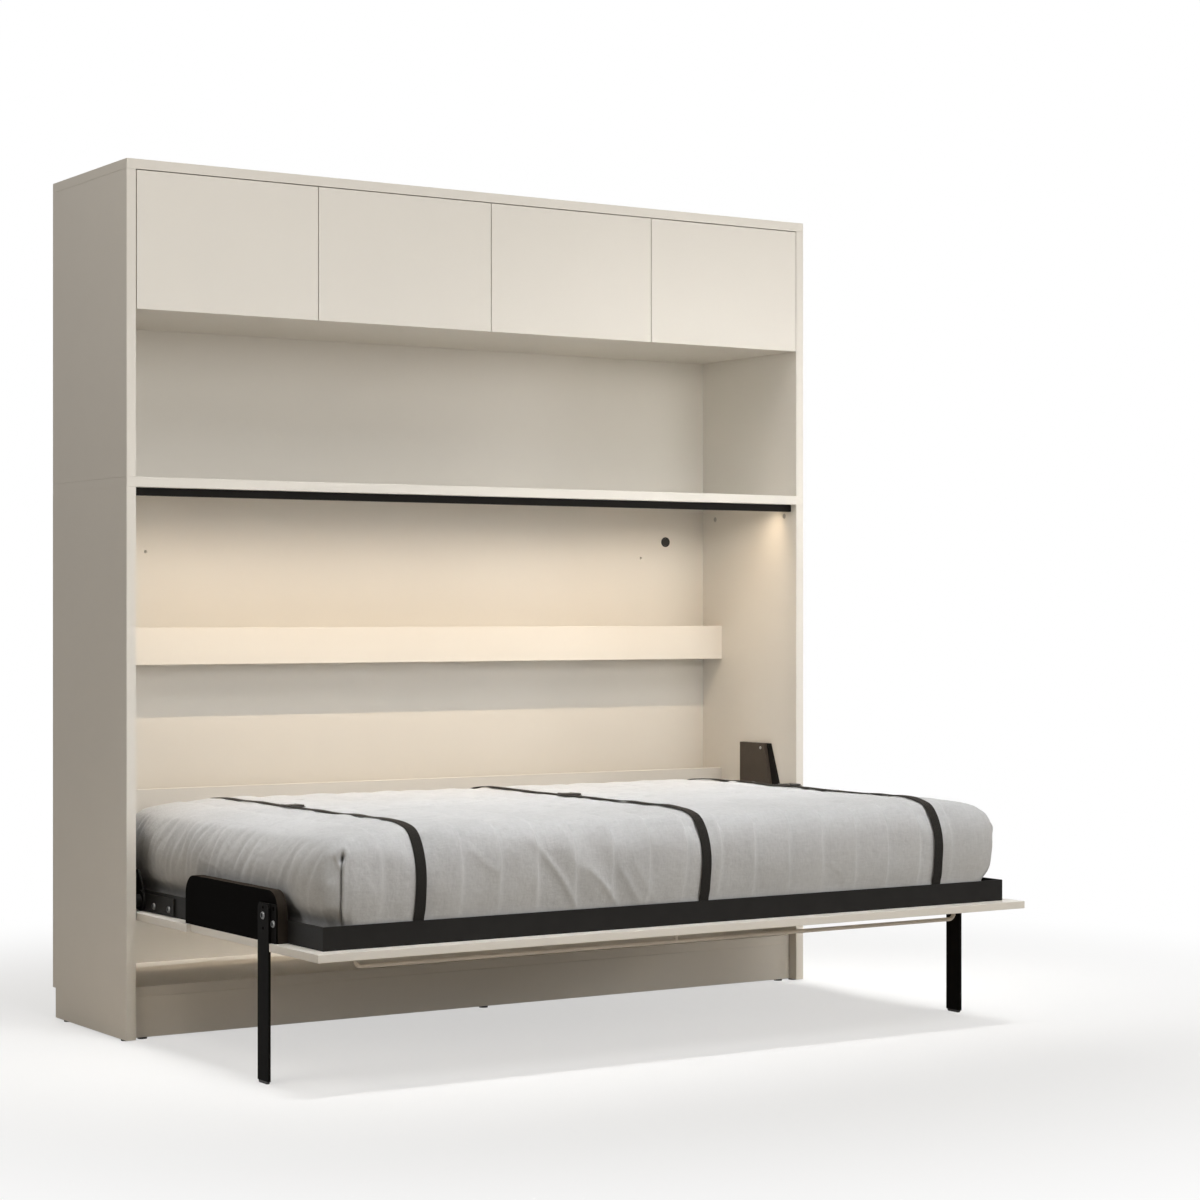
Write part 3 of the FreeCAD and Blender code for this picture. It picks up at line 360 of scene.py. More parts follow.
def gather(name, parts, finish, body, node=None, smooth_angle=30):
    """One piece from the points and faces of its parts, which rides on a body and may stand for a node"""
    points, faces = [], []
    for part_points, part_faces in parts:
        start = len(points)
        points.extend(tuple(point) for point in part_points)
        faces.extend(tuple(start + number for number in face) for face in part_faces)
    mesh = bpy.data.meshes.new(name)
    mesh.from_pydata(points, [], faces)
    mesh.shade_smooth()
    mesh.set_sharp_from_angle(angle=math.radians(smooth_angle))
    mesh.materials.append(finish.material)
    piece = added(name, mesh)
    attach(piece, body)
    if node:
        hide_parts(node)
    return piece


def cross_slot(half_length, half_width):
    """The radius by angle of a plus sign"""
    def radius(angles):
        longer = np.maximum(abs(np.cos(angles)), abs(np.sin(angles)))
        shorter = np.minimum(abs(np.cos(angles)), abs(np.sin(angles)))
        return np.minimum(half_length / longer, half_width / np.maximum(shorter, 1e-6))
    return radius


zinc = Finish("die_cast_zinc", Metallic=1)
zinc.mottle(600, (0.40, 0.39, 0.37), (0.55, 0.54, 0.52), (1500, 0.2, 0.35), (2500, 0.00003))
cams = []
for low, high in solids("cam_fasteners"):
    side = math.copysign(1, low[0])
    radius = (high[2] - low[2]) / 2
    sunk = high[0] - low[0]
    cross = cross_slot(CAM_CROSS_HALF_LENGTH, CAM_CROSS_HALF_WIDTH)
    outer, middle, inner = (radius * share for share in CAM_GROOVE)
    rings = [(radius, -sunk), (radius, -CAM_EASING), (radius - CAM_EASING, 0), (outer, 0),
             (middle, -CAM_GROOVE_DEPTH), (inner, 0), (cross, 0), (cross, -CAM_SLOT_DEPTH)]
    face = middle_at(min(low[0], high[0], key=abs), low, high)
    cams.append(turned(face, (-side, 0, 0), rings, sides=96))
gather("cam_caps", cams, zinc, "cabinet", node="cam_fasteners")

# Floor glides: hard black nylon discs nailed under the side panels and the kick board.
# They keep the board edges off the floor and let the cabinet be slid into place.
nylon = Finish("black_nylon", Specular_IOR_Level=0.45)
nylon.mottle(120, (0.014, 0.013, 0.013), (0.024, 0.023, 0.022), (300, 0.15, 0.42), (3500, 0.00002), detail=2)
dress(("glides",), nylon)

# Front beam: a square bar under the middle board, painted black, which hides the light strip.
# It has a fine eggshell texture from the roller and slightly eased edges.
black_paint = Finish("black_eggshell_paint", Specular_IOR_Level=0.08)
black_paint.mottle(30, (0.010, 0.0088, 0.0078), (0.015, 0.0135, 0.012), (90, 0.12, 0.48), (1100, 0.00002))
dress(("front_beam",), black_paint, edge=0.0008)

# Light strip: an aluminium channel let into the middle board, with a frosted cover over warm diodes.
# It washes the lower back panel, and its cover glows a little brighter over each diode.
DIODE_PITCH = 0.0166
STRIP_GLOW = 3.2
STRIP_WATTS = 5.2
WARM_LIGHT = (1.0, 0.80, 0.58)
channel = Finish("brushed_channel", Metallic=1)
brushing = channel.grain(9, squeeze=(1, 60, 60))
channel.feed(Base_Color=channel.blend(brushing, (0.30, 0.29, 0.28), (0.42, 0.41, 0.40)),
             Roughness=channel.grain(20, squeeze=(1, 80, 80)) * 0.2 + 0.3)
dress(("light_profile",), channel, edge=0.0003)
frosted = Finish("frosted_cover", Base_Color=(0.82, 0.78, 0.70), Emission_Strength=STRIP_GLOW)
diodes = frosted.part("X").wave(DIODE_PITCH)
frosted.feed(Emission_Color=frosted.blend(diodes, tint(WARM_LIGHT, 0.85), WARM_LIGHT),
             Roughness=frosted.grain(400) * 0.1 + 0.45)
dress(("light_diffuser",), frosted)
strip_low, strip_high = (Vector(corner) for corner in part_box("light_diffuser"))
strip_wide, strip_deep, _ = strip_high - strip_low
strip_under = (strip_low + strip_high) / 2
strip_under.z = strip_low.z - 0.001
lamp("strip_light", strip_under, strip_under + Vector((0, 0.45, -1)), strip_wide, strip_deep, STRIP_WATTS,
     WARM_LIGHT, spread=120)

# Light switch: a round push button in a moulded bezel, let into the lower back panel at its right end.
# Both are black plastic, the button with a fine spark-eroded texture that shows no finger marks.
dress(("light_switch_bezel", "light_switch_button"), nylon)

# Overhead doors: four flush doors without handles, of the carcass board in a slightly smoother satin.
# The push latches behind them spring them open; the band round each door is glued on and eased.
door_satin = melamine("warm_white_satin", 0.42, 5, 700, (0.975, 1.025), (25, 0.08, 0.33), (1200, 0.000010))
DOOR_PLACES = ("far_left", "mid_left", "mid_right", "far_right")
dress([place + "_door" for place in DOOR_PLACES], door_satin)

# Cup hinges: nickel-plated steel cups pressed into the doors and arms screwed to the side and partition.
# The plating is bright with faint draw lines from the press.
nickel = Finish("nickel_plate", Metallic=1)
nickel.feed(Base_Color=nickel.blend(nickel.grain(80), (0.56, 0.54, 0.50), (0.70, 0.68, 0.64)),
            Roughness=nickel.grain(30, squeeze=(1, 1, 40)) * 0.18 + 0.16,
            Normal=nickel.relief(nickel.grain(60, squeeze=(1, 1, 30)), 0.00002))
dress(["door_hinge_arms"] + [place + "_hinge_cups" for place in DOOR_PLACES], nickel)

# Push latches: grey acetal housings screwed down on the overhead floor, each with a sprung plunger.
# The moulding has a soft satin face and faint flow marks along its length.
acetal = Finish("grey_acetal", Specular_IOR_Level=0.5)
flow = acetal.grain(60, squeeze=(1, 0.2, 1))
acetal.feed(Base_Color=acetal.blend(flow, (0.36, 0.36, 0.35), (0.44, 0.44, 0.43)),
            Roughness=acetal.grain(400) * 0.12 + 0.36)
dress(["push_latch_housings"] + [place + "_plunger" for place in DOOR_PLACES], acetal)

# Lifting mechanism: pressed steel plates bolted to the side panels carry the pivot and the gas strut's
# anchor, and a folded steel cover hides each of them, held by a screw. All are powder coated black with a
# fine orange peel, the covers a little browner.
ORANGE_PEEL = (1500, 0.00003)
powder = Finish("black_powder_coat", Specular_IOR_Level=0.10)
powder.mottle(25, (0.009, 0.0083, 0.0075), (0.016, 0.0148, 0.0135), (200, 0.14, 0.46), ORANGE_PEEL, 2)
dress(("mechanism_plates",), powder)
cover_coat = Finish("brown_black_powder_coat", Specular_IOR_Level=0.25)
cover_coat.mottle(25, (0.060, 0.047, 0.036), (0.078, 0.062, 0.049), (200, 0.12, 0.42), ORANGE_PEEL, 2)
dress(("mechanism_covers",), cover_coat)
COVER_SCREW_RADIUS, COVER_SCREW_HEAD = 0.0045, 0.0024
COVER_SCREW_BEHIND_EDGE = 0.016
COVER_SCREW_BELOW_TOP = 0.014
PAN_HEAD = ((1, 1), (1, 0.75), (0.93, 0.40), (0.80, 0.12), (0.62, 0))
SCREW_CROSS, SCREW_CROSS_DEPTH = (0.52, 0.13), 0.7


def headed(profile, radius, head):
    """The rings of a head, from shares of its radius and of its height below its top"""
    return [(radius * out, -head * down) for out, down in profile]


cover_screws = []
for low, high in solids("mechanism_covers"):
    side = math.copysign(1, low[0])
    upper_edge = [point.co.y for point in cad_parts["mechanism_covers"].data.vertices
                  if point.co.z > high[2] - 0.0001]
    tip = np.array([min(low[0], high[0], key=abs) - side * COVER_SCREW_HEAD,
                    min(upper_edge) + COVER_SCREW_BEHIND_EDGE, high[2] - COVER_SCREW_BELOW_TOP])
    cross = cross_slot(*(COVER_SCREW_RADIUS * share for share in SCREW_CROSS))
    rings = headed(PAN_HEAD, COVER_SCREW_RADIUS, COVER_SCREW_HEAD)
    rings += [(cross, 0), (cross, -COVER_SCREW_HEAD * SCREW_CROSS_DEPTH)]
    cover_screws.append(turned(tip, (-side, 0, 0), rings))
gather("cover_screws", cover_screws, zinc, "cabinet", smooth_angle=40)

# Bed frame: two long rails and two end rails of folded angle steel, joined by cross bars underneath.
# The rails are powder coated in the same black and carry the slats on their lower flange.
dress(("frame_long_rails", "frame_end_rails"), powder, edge=0.0006)
dress(("frame_cross_bars",), powder, edge=0.0004)

# Slats: fourteen strips of layered beech veneer lying front to back on the rails' flanges.
# The grain runs along each strip and the thin glue lines show on the long edges.
PLY = 0.0018
beech = Finish("beech_veneer", Specular_IOR_Level=0.35)
figure = beech.grain(14, detail=6, squeeze=(14, 0.5, 14), roughness=0.6)
pores = beech.grain(60, detail=3, squeeze=(12, 0.6, 12))
plies = beech.part("Z").wave(PLY).between(0.35, 0.65) * abs(beech.facing("X")).between(0.5, 0.8)
wood = beech.blend(figure.between(0.3, 0.75), (0.56, 0.37, 0.20), (0.68, 0.49, 0.29))
wood = beech.blend(pores.between(0.62, 0.75) * 0.5, wood, (0.36, 0.21, 0.10))
beech.feed(Base_Color=beech.blend(plies * 0.6, wood, (0.33, 0.19, 0.09)), Roughness=figure * 0.15 + 0.42,
           Normal=beech.relief(figure * 0.6 + pores * 0.4, 0.0002))
dress(("slats",), beech, edge=0.0008)

# Face panel: one wide board screwed under the frame, which closes the cabinet's front when the bed is up.
# It is finished like the doors, with notches at its ends that the legs fold into.
dress(("face_panel",), door_satin, edge=0.001)

# Hinge arms: flat steel arms bolted to the frame's end rails, with a pivot boss and the strut's stud.
# Powder coated like the rails, with the same fine orange peel.
dress(("hinge_arms",), powder)

# Side guards: boards faced in black, which keep the mattress in place between the frame's end rails
# and the legs. Their upper corners are cut to a wide radius.
guard_face = Finish("black_board", Specular_IOR_Level=0.004)
# Painted sheen: every face that does not face sideways, that is the edges, is painted a lighter brown-black
# for the light that the satin edges catch.
rim = 1 - abs(guard_face.facing("X")).between(0.3, 0.8)
black_face = guard_face.blend(guard_face.grain(200), (0.0035, 0.0033, 0.0033), (0.0060, 0.0057, 0.0055))
painted_edge_sheen = guard_face.blend(guard_face.grain(50), (0.026, 0.021, 0.017), (0.038, 0.031, 0.025))
guard_face.mottle(rim, black_face, painted_edge_sheen, (60, 0.1, 0.6), (900, 0.00002))
dress(("side_guards",), guard_face)

# Folding legs: flat steel bars that swing on a bolt through a bracket screwed to the guard.
# Pin holes and edges are laser cut, and a thin nylon foot closes each lower end.
leg_coat = Finish("matt_black_powder_coat", Specular_IOR_Level=0.02)
leg_coat.mottle(25, (0.0045, 0.0042, 0.0040), (0.0085, 0.0080, 0.0074), (200, 0.14, 0.50), ORANGE_PEEL, 2)
dress(("leg_brackets", "left_leg", "right_leg"), leg_coat)
dress(("left_foot", "right_foot"), nylon)

# Bolts: zinc-plated button heads with a hexagon socket. Two hold each hinge arm to the frame, one fastens
# each leg bracket, and a longer one is the pivot of each leg.
BUTTON_HEAD = ((0.97, 1), (1, 0.93), (1, 0.80), (0.94, 0.45), (0.82, 0.15), (0.68, 0))
SOCKET_SHARE, SOCKET_DEPTH = 0.58, 1.5
SOCKET_CHAMFER, SOCKET_CHAMFER_DEPTH = 1.06, 0.06
SHANK_SHARE = 0.55
LEG_BOLT_LENGTH_OVER, LEG_BOLT_HEAD = 0.012, 0.0033
LEG_BRACKET_BEYOND, LEG_BRACKET_SKIN = 1, 0.0035
HINGE_ARM_SKIN = 0.005


def hexagon(across_flats):
    """The radius by angle of a hexagon"""
    def radius(angles):
        return across_flats / 2 / np.cos((angles + math.pi / 6) % (math.pi / 3) - math.pi / 6)
    return radius


bright_zinc = Finish("bright_zinc_plate", Metallic=1)
bright_zinc.mottle(200, (0.15, 0.15, 0.147), (0.24, 0.24, 0.235), (900, 0.16, 0.34), (1800, 0.00002))
bolts = []
for low, high in solids("bed_bolts"):
    side = math.copysign(1, low[0])
    tip, root = sorted((low[0], high[0]), key=abs, reverse=True)
    radius = (high[2] - low[2]) / 2
    long = abs(tip - root)
    if long > LEG_BOLT_LENGTH_OVER:
        head = LEG_BOLT_HEAD
    elif abs(root) > LEG_BRACKET_BEYOND:
        head = long - LEG_BRACKET_SKIN
    else:
        head = long - HINGE_ARM_SKIN
    socket, chamfer = (hexagon(radius * 2 * SOCKET_SHARE * share) for share in (1, SOCKET_CHAMFER))
    rings = [(radius * SHANK_SHARE, -long), (radius * SHANK_SHARE, -head), *headed(BUTTON_HEAD, radius, head),
             (chamfer, 0), (socket, -head * SOCKET_CHAMFER_DEPTH), (socket, -head * SOCKET_DEPTH)]
    bolts.append(turned(middle_at(tip, low, high), (side, 0, 0), rings, sides=60))
gather("socket_bolts", bolts, bright_zinc, "bed", node="bed_bolts", smooth_angle=40)

# Gas struts: a drawn steel cylinder lacquered black, and a hard chromed rod with an eye at its end.
# They carry the bed's weight and sit in the gap between the mechanism plate and the bed's end.
lacquer = Finish("black_gloss_lacquer", Coat_Roughness=0.08)
lacquer.feed(Base_Color=lacquer.blend(lacquer.grain(60), (0.010, 0.010, 0.010), (0.018, 0.018, 0.017)),
             Roughness=lacquer.grain(500) * 0.1 + 0.22, Coat_Weight=lacquer.grain(30) * 0.2 + 0.4)
dress(("left_strut_cylinder", "right_strut_cylinder"), lacquer)
chrome = Finish("chromed_rod", Metallic=1)
chrome.feed(Base_Color=chrome.blend(chrome.grain(90), (0.60, 0.60, 0.61), (0.72, 0.72, 0.73)),
            Roughness=chrome.grain(700, squeeze=(1, 1, 0.1)) * 0.08 + 0.10)
dress(("left_strut_rod", "right_strut_rod"), chrome)

# Mattress: a foam core under a quilted ticking, whose channels run from front to back. It fills the frame,
# bulges over the rails and is drawn in below their edge.
SIDE_PROFILE = ((0.0323, 0), (0.0212, 0.0127), (0.0188, 0.0457), (0.0110, 0.0686), (0.0050, 0.1067),
                (0.0035, 0.1500), (0.0090, 0.2000), (0.0205, 0.2275), (0.0437, 0.2460), (0.0798, 0.2533),
                (0.1710, 0.2575))
CORNER_RADIUS = 0.070
SHOULDER_INSET = 0.0437
GRID_STEP = 0.0105
PROFILE_STEP = 0.0005
CORNER_CELLS = 10
CORE_INSET = 0.026
CURVE_SAMPLES = 24
END_SWELL, END_SWELL_FROM, END_SWELL_HEIGHTS = 0.014, 0.6, (0.035, 0.085)
END_DROOP, END_DROOP_REACH, END_DROOP_HEIGHTS = 0.018, 0.20, (0.10, 0.24)
CHANNEL_PITCH = 0.10375
CHANNEL_AT = -0.0115


def smooth_line(points, step):
    """Points a step apart along a smooth curve through the given points"""
    given = np.array(points, float)
    padded = np.vstack([2 * given[0] - given[1], given, 2 * given[-1] - given[-2]])
    share = np.linspace(0, 1, CURVE_SAMPLES, endpoint=False)[:, None]
    dense = []
    for before, start, end, after in zip(padded, padded[1:], padded[2:], padded[3:]):
        bend = (2 * start + (end - before) * share + (2 * before - 5 * start + 4 * end - after) * share ** 2
                + (3 * start - before - 3 * end + after) * share ** 3)
        dense.append(bend / 2)
    dense = np.vstack([*dense, given[-1:]])
    run = np.concatenate([[0], np.cumsum(np.linalg.norm(np.diff(dense, axis=0), axis=1))])
    marks = np.linspace(0, run[-1], max(2, round(run[-1] / step) + 1))
    return np.stack([np.interp(marks, run, dense[:, axis]) for axis in range(given.shape[1])], axis=1)


mattress_low, mattress_high = (np.array(corner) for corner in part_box("mattress"))
mattress_middle = (mattress_low + mattress_high) / 2
half = (mattress_high - mattress_low)[:2] / 2
half_x, half_y = half
full_profile = smooth_line(SIDE_PROFILE, PROFILE_STEP)
crown_at = int(np.argmax(full_profile[:, 0] >= SHOULDER_INSET - 1e-6))
wall_profile = smooth_line(full_profile[:crown_at + 1], GRID_STEP)


def stations(half):
    """Grid lines across the top: close together over the corner arcs, even between them"""
    arc = CORNER_RADIUS - SHOULDER_INSET
    edge = half - SHOULDER_INSET
    count = round(2 * (edge - arc) / GRID_STEP)
    return np.concatenate([np.linspace(-edge, arc - edge, CORNER_CELLS, endpoint=False),
                           np.linspace(arc - edge, edge - arc, count, endpoint=False),
                           np.linspace(edge - arc, edge, CORNER_CELLS + 1)])


def rounded_box(inset):
    """Points and faces of the mattress form, drawn in by an inset; its open rim is the lowest ring"""
    arc = CORNER_RADIUS - SHOULDER_INSET
    inner = half - CORNER_RADIUS
    grid = np.stack(np.meshgrid(stations(half_x), stations(half_y), indexing="ij"), axis=-1)
    over = np.clip((abs(grid) - inner) / arc, 0, 1)
    bent = inner + arc * over * np.sqrt(1 - over[..., ::-1] ** 2 / 2)
    place = np.where(abs(grid) > inner, np.sign(grid) * bent, grid)
    beyond = np.maximum(abs(place) - inner, 0)
    depth = np.where((beyond > 0).all(axis=-1), CORNER_RADIUS - np.hypot(beyond[..., 0], beyond[..., 1]),
                     (half - abs(place)).min(axis=-1))
    rise = np.interp(depth, full_profile[crown_at:, 0], full_profile[crown_at:, 1])
    top = np.dstack([place * (1 - inset / half), rise - inset])
    points = list((top + [*mattress_middle[:2], mattress_low[2]]).reshape(-1, 3))
    at = np.arange(depth.size).reshape(depth.shape)
    cells = np.dstack([at[:-1, :-1], at[1:, :-1], at[1:, 1:], at[:-1, 1:]])
    faces = [tuple(cell) for cell in cells.reshape(-1, 4)]
    above = [*at[:-1, 0], *at[-1, :-1], *at[:0:-1, -1], *at[0, :0:-1]]
    flat_places = place.reshape(-1, 2)[above]
    outward = np.sign(flat_places) * np.maximum(abs(flat_places) - inner, 0)
    outward /= np.linalg.norm(outward, axis=1, keepdims=True)
    height_share = 1 - inset / full_profile[crown_at, 1]
    for profile_inset, height in wall_profile[::-1][1:]:
        ring = mattress_middle[:2] + flat_places + outward * (SHOULDER_INSET - profile_inset - inset)
        below = list(range(len(points), len(points) + len(ring)))
        points += [np.array([x, y, mattress_low[2] + height * height_share]) for x, y in ring]
        faces += zip(above, below, below[1:] + below[:1], above[1:] + above[:1])
        above = below
    return points, faces, above


def ramp(values, low, high):
    """0 below low, 1 above high, smooth between"""
    share = np.clip((values - low) / (high - low), 0, 1)
    return share * share * (3 - 2 * share)


def settled(points):
    """The form as it lies in the frame: its ends swell over the end rails and droop at their upper edge"""
    points = np.array(points, float)
    out = abs(points[:, 0] - mattress_middle[0])
    height = points[:, 2] - mattress_low[2]
    swell = END_SWELL * ramp(out, half_x * END_SWELL_FROM, half_x) * ramp(height, *END_SWELL_HEIGHTS)
    points[:, 0] += np.copysign(swell, points[:, 0] - mattress_middle[0])
    points[:, 2] -= END_DROOP * ramp(out, half_x - END_DROOP_REACH, half_x) * ramp(height, *END_DROOP_HEIGHTS)
    return points


def channel_share(x):
    """How far along its quilted channel a point is, from 0 at one seam to 1 at the next"""
    return ((x - CHANNEL_AT) / CHANNEL_PITCH) % 1


points, faces, rim = rounded_box(CORE_INSET)
ticking = Finish("quilted_ticking", Sheen_Weight=0.2)
knit = ticking.part("X").wave(0.0016) * ticking.part("Y").wave(0.0016)
ticking.feed(Base_Color=ticking.blend(ticking.grain(40), (0.66, 0.65, 0.62), (0.74, 0.73, 0.70)),
             Roughness=ticking.grain(200) * 0.1 + 0.85, Normal=ticking.relief(knit, 0.0003))
core = settled(points), faces + [tuple(rim)]
mattress = gather("mattress_core", [core], ticking, "bed", node="mattress", smooth_angle=60)

# Bed sheet: one flat sheet of light grey brushed cotton drawn tight over the mattress and tucked under it,
# with folded corners. The channels show through it, and small creases run out from every pull.
SHEET_GAP = 0.0012
TUCK_UNDER = 0.030
STRAP_WIDTH = 0.028
STRAP_GROOVE, STRAP_SLOPE = 0.0025, 0.030
STRAP_PRESS, PRESS_SLOPE, PRESS_REACH = 0.012, 0.060, 0.050
PRESSED_EDGE = (0.022, 0.228)
SWELL_CAP = 0.006
SWELL_FRAMES = 20
HELD_BELOW = 0.055
SEAM_HOLD, SEAM_HELD_SHARE = 0.7, 0.06
FREE_HEIGHTS = (0.030, 0.060)
GUARD_CLEAR, ABOVE_GUARD, NEAR_END_SHARE = 0.0010, 0.004, 0.8
CLOTH_SETTINGS = {
    "quality": 4, "mass": 0.3, "tension_stiffness": 12, "compression_stiffness": 12, "shear_stiffness": 6,
    "bending_stiffness": 0.4, "use_pressure": True, "uniform_pressure_force": 4, "vertex_group_mass": "held"}


def swelled(piece, held, cap):
    """The piece blown up a little like a cushion, with no point moved further than the cap"""
    mesh = piece.data
    before = np.array([point.co for point in mesh.vertices])
    group = piece.vertex_groups.new(name="held")
    for number, weight in held:
        group.add([number], weight, "REPLACE")
    cloth = piece.modifiers.new("cloth", "CLOTH")
    for setting, value in CLOTH_SETTINGS.items():
        setattr(cloth.settings, setting, value)
    cloth.settings.effector_weights.gravity = 0
    for number in range(1, SWELL_FRAMES + 1):
        bpy.context.scene.frame_set(number)
    seen_now = piece.evaluated_get(bpy.context.evaluated_depsgraph_get())
    after = np.array([point.co for point in seen_now.data.vertices])
    piece.modifiers.remove(cloth)
    bpy.context.scene.frame_set(1)
    moved = after - before
    far = np.linalg.norm(moved, axis=1, keepdims=True)
    moved *= np.minimum(1, cap / np.maximum(far, 1e-9))
    mesh.vertices.foreach_set("co", (before + moved).ravel())


def cloudy(points, size, seed):
    """Smooth noise from -1 to 1 over points, with blots of about the given size"""
    table = np.random.default_rng(seed).uniform(-1, 1, (32, 32, 32))
    place = points / size
    cell = np.floor(place).astype(int)
    part = place - cell
    part = part * part * (3 - 2 * part)
    total = np.zeros(len(points))
    for corner in np.ndindex(2, 2, 2):
        share = np.prod(np.where(corner, part, 1 - part), axis=1)
        total += share * table[tuple((cell + corner).T % 32)]
    return total


strap_places = sorted((low[0] + high[0]) / 2 for low, high in solids("straps"))


def pressed_in(y, z):
    """How deep a strap presses the mattress's edge: most where the edge turns from the top to the side"""
    inset = half_y - abs(y - mattress_middle[1])
    away = np.hypot(inset - PRESSED_EDGE[0], z - mattress_low[2] - PRESSED_EDGE[1])
    return STRAP_PRESS * np.exp(-(away / PRESS_REACH) ** 2)


# Relief of the cloth. Noise: the size of its blots along x, y and z in metres, and its seed.
NOISE = {
    "wander": ((0.35, 0.12, 0.12), 1), "channel": (0.22, 2), "ripple": ((0.060, 0.026, 0.05), 3),
    "swell": ((0.15, 0.10, 0.10), 4), "pull": ((0.045, 0.3, 0.20), 5), "pulled": (0.26, 6),
    "bend": ((0.2, 0.08, 0.12), 7), "pleat": ((0.5, 0.06, 0.11), 8), "crease": ((0.05, 0.05, 0.045), 9),
    "creased": (0.12, 10), "slant": ((0.09, 0.09, 0.03), 11), "slanted": (0.15, 12),
    "fan": ((0.5, 0.030, 0.030), 14), "crumple": ((0.055, 0.055, 0.075), 15)}
# Heights or depths of what stands out, in metres
CHANNEL_ON_SIDE, CHANNEL_ON_TOP, CHANNEL_ON_SHOULDER, CHANNEL_RIGHTWARD = 0.0095, 0.0042, 0.0040, 0.35
CREST, CREST_ROUNDING = 0.90, 1.2
WANDER, RIPPLE, SWELL, FAN, CREASE = 0.006, 0.0024, 0.0020, 0.0040, 0.0014
CRUMPLE_ON_FRONT, CRUMPLE_ON_END = 0.0022, 0.0034
PLEAT, PLEAT_PITCH, PLEAT_BEND, PLEAT_LEAN = 0.0056, 0.048, 0.026, 0.5
PULL, PULL_TURN = 0.0066, math.radians(38)
FAN_HEIGHT_SHARE = 0.22
CREASE_WIDTH = 0.12
# Where it sets in and is full: heights over the mattress's underside, ways in from its sides and ends, places
SHOULDER_HEIGHTS, SHOULDER_WIDTHS, LOWER_HEIGHTS = (0.185, 0.225), (0.05, 0.16), (0.05, 0.16)
CHANNEL_FROM_END, CHANNEL_GROWS = (0.03, 0.12), (0, 0.8)
PLEAT_HEIGHTS, PLEAT_FROM_SIDE, PLEAT_GROWS = (0.045, 0.17), (0.02, 0.11), (-0.52, -0.15)
FACES_OUT, FACES_UP = (0.35, 0.85), (0.45, 0.9)


def noise(points, name):
    """One of the named noises over points, from -1 to 1"""
    return cloudy(points, *NOISE[name])


def creases(points, name):
    """Thin soft ridges from 0 to 1, which wander and cross"""
    return np.clip(1 - abs(noise(points, name)) / CREASE_WIDTH, 0, 1) ** 2


def sheet_lift(points, normals):
    """How far the cloth stands out from, or sinks below, its smooth form"""
    x, y, z = points.T
    height = z - mattress_low[2]
    from_side = half_y - abs(y - mattress_middle[1])
    front, rear = ramp(-normals[:, 1], *FACES_OUT), ramp(normals[:, 1], *FACES_OUT)
    top, end = ramp(normals[:, 2], *FACES_UP), ramp(abs(normals[:, 0]), *FACES_UP)
    shoulder = ramp(height, *SHOULDER_HEIGHTS) * (1 - ramp(from_side, *SHOULDER_WIDTHS))
    from_end = ramp(half_x - abs(x - mattress_middle[0]), *CHANNEL_FROM_END)
    lower = 0.45 + 0.55 * ramp(height, *LOWER_HEIGHTS)

    # The channels' pillows and seams, then ripples across them and broad swells
    share = channel_share(x + noise(points, "wander") * WANDER)
    pillow = np.where(share < CREST, np.sin(math.pi / 2 * share / CREST) ** CREST_ROUNDING,
                      ramp(-share, -1, -CREST))
    strength = CHANNEL_ON_SIDE * (1 + CHANNEL_RIGHTWARD * ramp(x, *CHANNEL_GROWS)) * (front + rear) * lower
    strength += CHANNEL_ON_TOP * top + CHANNEL_ON_SHOULDER * shoulder
    lift = (pillow - 1) * strength * (0.85 + 0.4 * noise(points, "channel")) * from_end
    lift += RIPPLE * noise(points, "ripple") * top * from_end + SWELL * noise(points, "swell")

    # Slanting pulls down the front
    slant = np.stack([z * math.sin(PULL_TURN) + x * math.cos(PULL_TURN), y,
                      z * math.cos(PULL_TURN) - x * math.sin(PULL_TURN)], axis=1)
    drawn = 1 - abs(noise(slant, "pull"))
    lift += PULL * (drawn ** 3 - 0.4) * front * ramp(noise(points, "pulled"), -0.3, 0.5)

    # Leaning pleats and fans down the ends
    slope = y + PLEAT_LEAN * height
    pleat = abs(np.sin(math.pi * (slope + PLEAT_BEND * noise(points, "bend")) / PLEAT_PITCH)) ** 0.8
    depth = PLEAT * ramp(height, *PLEAT_HEIGHTS) * (0.40 + 0.60 * ramp(y, *PLEAT_GROWS))
    depth *= np.maximum(0.1, 0.6 + 0.8 * noise(points, "pleat"))
    lift += (pleat - 0.7) * depth * end * ramp(from_side, *PLEAT_FROM_SIDE)
    leaning = np.stack([x, slope, height * FAN_HEIGHT_SHARE], axis=1)
    lift += FAN * (0.5 - abs(noise(leaning, "fan"))) * end

    # Crumples and fine creases, then the straps' grooves
    lift += noise(points, "crumple") * np.maximum(CRUMPLE_ON_FRONT * front, CRUMPLE_ON_END * end)
    fine = creases(points, "crease") * ramp(noise(points, "creased"), -0.2, 0.5)
    fine += creases(slant, "slant") * ramp(noise(points, "slanted"), 0, 0.5)
    lift += CREASE * fine * (0.3 + 0.7 * np.maximum(front, end))
    beside = np.min([abs(x - place) for place in strap_places], axis=0) - STRAP_WIDTH / 2
    lift -= STRAP_GROOVE * (1 - ramp(beside, 0, STRAP_SLOPE)) * (1 - 0.5 * top)
    return lift - pressed_in(y, z) * (1 - ramp(beside, 0, PRESS_SLOPE))


